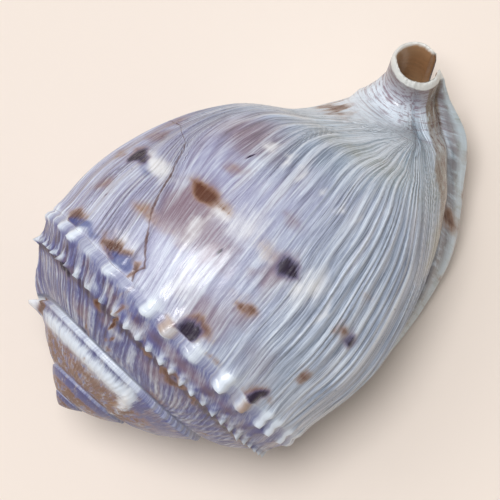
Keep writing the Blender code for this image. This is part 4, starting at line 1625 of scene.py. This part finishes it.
class Skin:
    """What the glaze reads off the skin: its channels, and noises laid along its growth."""

    def __init__(self, graph: Graph) -> None:
        """Makes the nodes that read the channels and the noises.

        The ribs are a wave of the rib's number, uneven in height. Along a growth line the noises
        are drawn out into streaks, threads and bands, and along a row into wrinkles and flecks.

        Args:
            graph: The material's nodes.
        """
        self.graph = graph
        self.line, self.row = graph.attribute("line"), graph.attribute("row")
        self.relief, self.side = graph.attribute("relief"), graph.attribute("side")
        self.inside, self.canal = graph.attribute("inside"), graph.attribute("canal")
        self.flange, self.white = graph.attribute("flange"), graph.attribute("white")
        self.groove, self.scar = graph.attribute("groove"), graph.attribute("scar")
        self.ribs, phase = graph.attribute("ribs"), graph.attribute("phase")
        place, line, row = graph.place(), self.line, self.row
        self.broad = graph.noise(place, 38.0, 3.0)
        self.middle = graph.noise(place, 160.0, 4.0, 0.6)
        self.specks = graph.noise(place, 260.0, 4.0, 0.7)
        self.fine = graph.noise(place, 520.0, 4.0, 0.6)
        self.streaks = graph.noise(graph.vector(line * 0.9, row * 5.0, 0.0), 1.0, 5.0, 0.7)
        self.threads = graph.noise(graph.vector(line * 3.2, row * 9.0, 5.0), 1.0, 3.0, 0.6)
        self.bands = graph.noise(graph.vector(line * 0.16, row * 2.5, 3.0), 1.0, 3.0, 0.6)
        self.wrinkles = graph.noise(graph.vector(line * 0.03, row * 150.0, 0.0), 1.0, 4.0, 0.7)
        self.flecks = graph.noise(graph.vector(line * 0.35, row * 45.0, 11.0), 1.0, 4.0, 0.7)
        self.mottle = graph.noise(graph.vector(row * 30.0, self.flange * 2.0, 3.0), 1.0, 4.0, 0.7)
        wave = 0.5 + 0.5 * (phase * FULL_TURN).sine()
        uneven = (graph.noise(graph.vector(phase * 0.9, row * 3.0, 7.0), 1.0, 3.0) - 0.25) * 2.0
        # In the colour, rib and tone make crests paler and grooves darker: painted highlight and painted
        # shade that follow the relief, added to the shell's own white nodes and bands. rib also drives the
        # bump.
        self.rib = self.ribs * (1.3 * wave * uneven - 0.5)
        self.tone = self.relief + self.rib
        self.lively = 0.55 + 0.45 * self.ribs.ramp(0.1, 0.5)
        front = (row + 0.25 * (self.broad - 0.5)).ramp(0.42, 0.8)
        self.front = front.most(line.ramp(85.0, 140.0) * (1.0 - self.side) * 0.6)


@dataclass(frozen=True)
class Glaze:
    """The shell's finish: bluish white, with brown and blue marks, under a thin gloss."""

    base: tuple = (0.345, 0.35, 0.53, 1.0)
    grey: tuple = (0.385, 0.50, 0.62, 1.0)
    slope_base: tuple = (0.115, 0.12, 0.31, 1.0)
    white: tuple = (0.82, 0.90, 1.0, 1.0)
    crest: tuple = (0.60, 0.69, 0.74, 1.0)
    # The next two colours are the painted shade in the rib grooves, on the back and at the front.
    groove: tuple = (0.07, 0.045, 0.075, 1.0)
    front_groove_shade: tuple = (0.08, 0.13, 0.17, 1.0)
    stain: tuple = (0.17, 0.115, 0.055, 1.0)
    inside: tuple = (0.44, 0.27, 0.15, 1.0)
    rim: tuple = (0.86, 0.87, 0.84, 1.0)
    brown: tuple = (0.095, 0.024, 0.009, 1.0)
    tan: tuple = (0.36, 0.19, 0.09, 1.0)
    dark: tuple = (0.018, 0.008, 0.03, 1.0)
    blue: tuple = (0.05, 0.08, 0.28, 1.0)
    cream: tuple = (0.88, 0.89, 0.92, 1.0)
    mauve: tuple = (0.25, 0.17, 0.22, 1.0)
    olive: tuple = (0.25, 0.25, 0.16, 1.0)
    roughness: float = 0.32
    coat: float = 0.5
    coat_roughness: float = 0.14
    bump_distance: float = 0.0006

    def patch(self, skin: Skin, tint: Tint, noise: Value, low: float, high: float) -> Value:
        """Turns a tint's channel into a patch with ragged, soft edges."""
        cover = skin.graph.attribute(tint.value)
        return (cover + 1.1 * (noise - 0.5) * cover.ramp(0.02, 0.4)).ramp(low, high)

    def ground(self, skin: Skin) -> Value:
        """The ground colour: bluish, greyer to the front, with pale crests and dark grooves that
        are partly painted highlight and painted shade following the relief.

        Args:
            skin: What is read off the skin.

        Returns:
            The colour.
        """
        mix, front, side, white, bands = skin.graph.mix, skin.front, skin.side, skin.white, skin.bands
        colour = mix(front, self.base, self.grey)
        colour = mix(side, colour, self.slope_base)
        colour = mix(bands.ramp(0.5, 0.68) * side * 0.5, colour, self.brown)
        mauve = self.patch(skin, Tint.MAUVE, skin.broad, 0.05, 0.9).most(bands.ramp(0.5, 0.75) * 0.6)
        colour = mix(mauve * (1.0 - front * 0.6) * (1.0 - white), colour, self.mauve)
        colour = mix(self.patch(skin, Tint.OLIVE, skin.middle, 0.1, 1.1), colour, self.olive)
        texture = 1.8 * (skin.streaks - 0.5) + 1.2 * (skin.threads - 0.5) * skin.lively
        texture = texture * (1.0 - 0.5 * side)
        foot = skin.row.ramp(0.72, 0.86) * skin.line.ramp(140.0, 105.0) * 0.45
        # pale is partly painted highlight on crests, partly the shell's own white streaks and bands and the
        # white channel.
        pale = 0.55 * skin.tone + texture + 1.1 * (bands - 0.45) + 0.9 * white + 0.2 * front + foot
        colour = mix(pale.ramp(-0.2, 0.7) * 0.92, colour, self.white)
        # shade is painted shade in the grooves, together with the shell's own dark streaks.
        shade = (-0.5 * skin.tone - texture - 0.5 * (bands - 0.5)).ramp(0.0, 0.62)
        shade = shade * skin.lively * (0.85 + 0.15 * side - 0.5 * white - 0.2 * front)
        colour = mix(shade, colour, mix(front, self.groove, self.front_groove_shade))
        return mix(mauve * 0.4 * (1.0 - front) * (1.0 - white), colour, self.mauve)

    def spire(self, skin: Skin, colour: Value) -> Value:
        """Rusts the earlier whorls, but for the upper part of their slope and what is white."""
        older = skin.line.ramp(-200.0, -230.0) * skin.side
        rust = skin.specks.ramp(0.37, 0.55) * older * skin.row.ramp(-0.25, -0.45)
        colour = skin.graph.mix(rust * 0.85 * (1.0 - skin.white), colour, self.tan)
        return skin.graph.mix(rust.ramp(0.5, 1.0) * 0.5 * (1.0 - skin.white), colour, self.brown)

    def neck(self, skin: Skin, colour: Value) -> Value:
        """Wrinkles and darkens the canal, and stains the groove behind the lip.

        Args:
            skin: What is read off the skin.
            colour: The colour below.

        Returns:
            The colour.
        """
        mix, groove, row, canal = skin.graph.mix, skin.groove, skin.row, skin.canal
        lines = (skin.wrinkles + 0.25 * (skin.middle - 0.5)).ramp(0.47, 0.62) * canal
        tip = (row + 0.06 * (skin.broad - 0.5)).ramp(0.9, 0.97)
        colour = mix((lines * 0.75 + tip * 0.5).least(0.9), colour, self.mauve)
        stained = groove * (0.6 + 0.8 * (skin.streaks - 0.5)) + canal * (row - 0.93) * 6.0
        colour = mix(stained.ramp(0.05, 0.6) * 0.85, colour, self.stain)
        colour = mix(skin.flecks.ramp(0.5, 0.62) * groove * 0.8, colour, self.brown)
        return mix(skin.flecks.ramp(0.45, 0.35) * groove * 0.6, colour, self.crest)

    def lip(self, skin: Skin, colour: Value) -> Value:
        """Mottles the lip's flange, draws its brown border, and lines the hollow.

        Args:
            skin: What is read off the skin.
            colour: The colour below.

        Returns:
            The colour.
        """
        mix, flange, inside = skin.graph.mix, skin.flange, skin.inside
        lip_colour = mix(skin.mottle.ramp(0.2, 0.55), self.olive, self.crest)
        colour = mix(flange * 0.85 * (1.0 - inside), colour, lip_colour)
        border = flange * (1.0 - flange) * 4.0 * skin.flecks.ramp(0.35, 0.55)
        colour = mix(border * 0.55 * (1.0 - inside), colour, self.brown)
        return mix(inside, colour, mix(skin.broad.ramp(0.35, 0.7), self.inside, self.tan))

    def marks(self, skin: Skin, colour: Value) -> Value:
        """Lays down the patches, from the palest to the darkest; the brown ones are veined.

        Args:
            skin: What is read off the skin.
            colour: The colour below.

        Returns:
            The colour.
        """
        mix = skin.graph.mix
        ragged = 0.3 * skin.middle + 0.15 * skin.fine + 0.55 * skin.streaks
        vein = 0.35 + 1.2 * skin.streaks
        colour = mix(self.patch(skin, Tint.CREAM, ragged, 0.2, 1.0) * 0.9, colour, self.cream)
        colour = mix(self.patch(skin, Tint.TAN, ragged, 0.1, 1.1) * 0.8, colour, self.tan)
        brown = self.patch(skin, Tint.BROWN, ragged, 0.0, 1.1)
        colour = mix((brown.ramp(0.0, 0.8) * vein * 0.85).least(0.85), colour, self.tan)
        colour = mix((brown.ramp(0.25, 1.0) * vein).least(0.97), colour, self.brown)
        colour = mix(self.patch(skin, Tint.BLUE, ragged, 0.1, 1.0) * 0.85, colour, self.blue)
        dark = self.patch(skin, Tint.DARK, ragged, 0.0, 1.1)
        colour = mix(dark.ramp(0.0, 0.5) * 0.7, colour, self.mauve)
        colour = mix(dark.ramp(0.15, 0.7) * 0.5, colour, self.blue)
        return mix((dark.ramp(0.3, 1.0) * (0.4 + vein)).least(0.98), colour, self.dark)

    def edges(self, skin: Skin, colour: Value) -> Value:
        """Draws the crack along the growth scar, and the white rim of the canal."""
        scar = (skin.scar.math("ABSOLUTE") + 1.5 * (skin.middle - 0.5)).ramp(0.9, 0.1)
        colour = skin.graph.mix(scar * (0.2 + 1.1 * skin.fine).least(0.85), colour, self.brown)
        rim = (skin.row + 0.012 * (skin.middle - 0.5) - 0.008 * skin.inside).ramp(0.986, 0.991)
        return skin.graph.mix(rim * (1.0 - skin.side) * 0.9, colour, self.rim)

    def material(self, name: str) -> bpy.types.Material:
        """Makes the material.

        Args:
            name: The material's name.

        Returns:
            The material, ready to assign.
        """
        skin = Skin(Graph(name))
        colour = self.ground(skin)
        for layer in (self.spire, self.neck, self.lip, self.marks, self.edges):
            colour = layer(skin, colour)
        strands = (0.7 * skin.streaks + 0.45 * skin.threads) * skin.lively
        height = strands + 0.2 * skin.fine + 0.5 * skin.wrinkles * skin.canal + 0.9 * skin.rib
        sockets = {
            "Base Color": colour,
            "Roughness": self.roughness + 0.3 * (skin.fine - 0.5) + 0.12 * skin.canal + 0.12 * skin.side,
            "Normal": skin.graph.bump(height, self.bump_distance),
            "Coat Weight": self.coat,
            "Coat Roughness": self.coat_roughness,
            "IOR": 1.5,
        }
        return skin.graph.finish(sockets)


@dataclass(frozen=True)
class Lamp:
    """A light so far away that it falls evenly on the floor.

    It stands `across` and `up` the picture for each metre of height, fills `spread` degrees
    seen from the shell, and has the strength `power`.
    """

    name: str
    across: float
    up: float
    spread: float
    power: float


@dataclass(frozen=True)
class Studio:
    """The pale floor, the soft lights and the camera straight above."""

    floor_colour: tuple = (0.87, 0.776, 0.70, 1.0)
    floor_size: float = 3.0
    turn: float = 40.9
    aim: tuple = (-0.00406, 0.00194, 0.043)
    distance: float = 1.3
    width: float = 0.17275
    sensor: float = 36.0
    clip_end: float = 20.0
    grain_colour: tuple = (0.8, 0.75, 0.7, 1.0)
    sky_colour: tuple = (1.0, 0.95, 0.9, 1.0)
    sky_strength: float = 0.25
    lamps: tuple[Lamp, ...] = (
        Lamp("overhead", -0.14, 0.18, 24.0, 2.05),
        Lamp("side", -0.7, 0.5, 40.0, 0.75),
    )

    def floor(self) -> bpy.types.Object:
        """Makes the floor that the shell lies on."""
        half = self.floor_size / 2.0
        mesh = bpy.data.meshes.new("floor")
        corners = [(-half, -half, 0.0), (half, -half, 0.0), (half, half, 0.0), (-half, half, 0.0)]
        mesh.from_pydata(corners, [], [(0, 1, 2, 3)])
        graph = Graph("pale floor")
        grain = graph.noise(graph.place(), 900.0, 2.0)
        colour = graph.mix(0.03 * grain, self.floor_colour, self.grain_colour)
        mesh.materials.append(graph.finish({"Base Color": colour, "Roughness": 0.9}))
        floor = bpy.data.objects.new("floor", mesh)
        bpy.context.scene.collection.objects.link(floor)
        return floor

    def axes(self) -> tuple[Vector, Vector]:
        """The picture's right and up on the ground."""
        turn = np.radians(self.turn)
        right = Vector((np.cos(turn), -np.sin(turn), 0.0))
        return right, Vector((np.sin(turn), np.cos(turn), 0.0))

    def camera(self) -> bpy.types.Object:
        """Makes the camera, which looks straight down with the axis turned in the picture."""
        data = bpy.data.cameras.new("camera")
        data.sensor_width = self.sensor
        data.lens = self.sensor * self.distance / self.width
        data.clip_end = self.clip_end
        camera = bpy.data.objects.new("camera", data)
        right, up = self.axes()
        back = Vector((0.0, 0.0, 1.0))
        camera.matrix_world = Matrix.Translation(Vector(self.aim) + back * self.distance) @ Matrix(
            (
                (right.x, up.x, back.x, 0.0),
                (right.y, up.y, back.y, 0.0),
                (right.z, up.z, back.z, 0.0),
                (0.0, 0.0, 0.0, 1.0),
            )
        )
        bpy.context.scene.collection.objects.link(camera)
        bpy.context.scene.camera = camera
        return camera

    def hang(self, lamp: Lamp) -> None:
        """Hangs one light, turned towards the shell."""
        data = bpy.data.lights.new(lamp.name, "SUN")
        data.angle = np.radians(lamp.spread)
        data.energy = lamp.power
        light = bpy.data.objects.new(lamp.name, data)
        right, upward = self.axes()
        light.location = right * lamp.across + upward * lamp.up + Vector((0.0, 0.0, 1.0))
        light.rotation_euler = (-light.location).to_track_quat("-Z", "Y").to_euler()
        bpy.context.scene.collection.objects.link(light)

    def light(self) -> None:
        """Sets the soft sky and hangs the lights."""
        bpy.context.scene.view_settings.view_transform = "Standard"
        world = bpy.data.worlds.new("soft room")
        bpy.context.scene.world = world
        world.use_nodes = True
        background = world.node_tree.nodes["Background"]
        background.inputs["Color"].default_value = self.sky_colour
        background.inputs["Strength"].default_value = self.sky_strength
        for lamp in self.lamps:
            self.hang(lamp)


def main() -> None:
    """Builds the shell and its studio, one piece after the other."""
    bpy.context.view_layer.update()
    studio = Studio()
    studio.camera()
    studio.floor()
    studio.light()
    log.info("studio ready")
    shell = ShellBuilder().build()
    log.info("shell skin: %d points", len(shell.data.vertices))
    shell.data.materials.append(Glaze().material("glazed shell"))
    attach(shell, "root")
    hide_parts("shell")


if __name__ == "__main__":
    main()
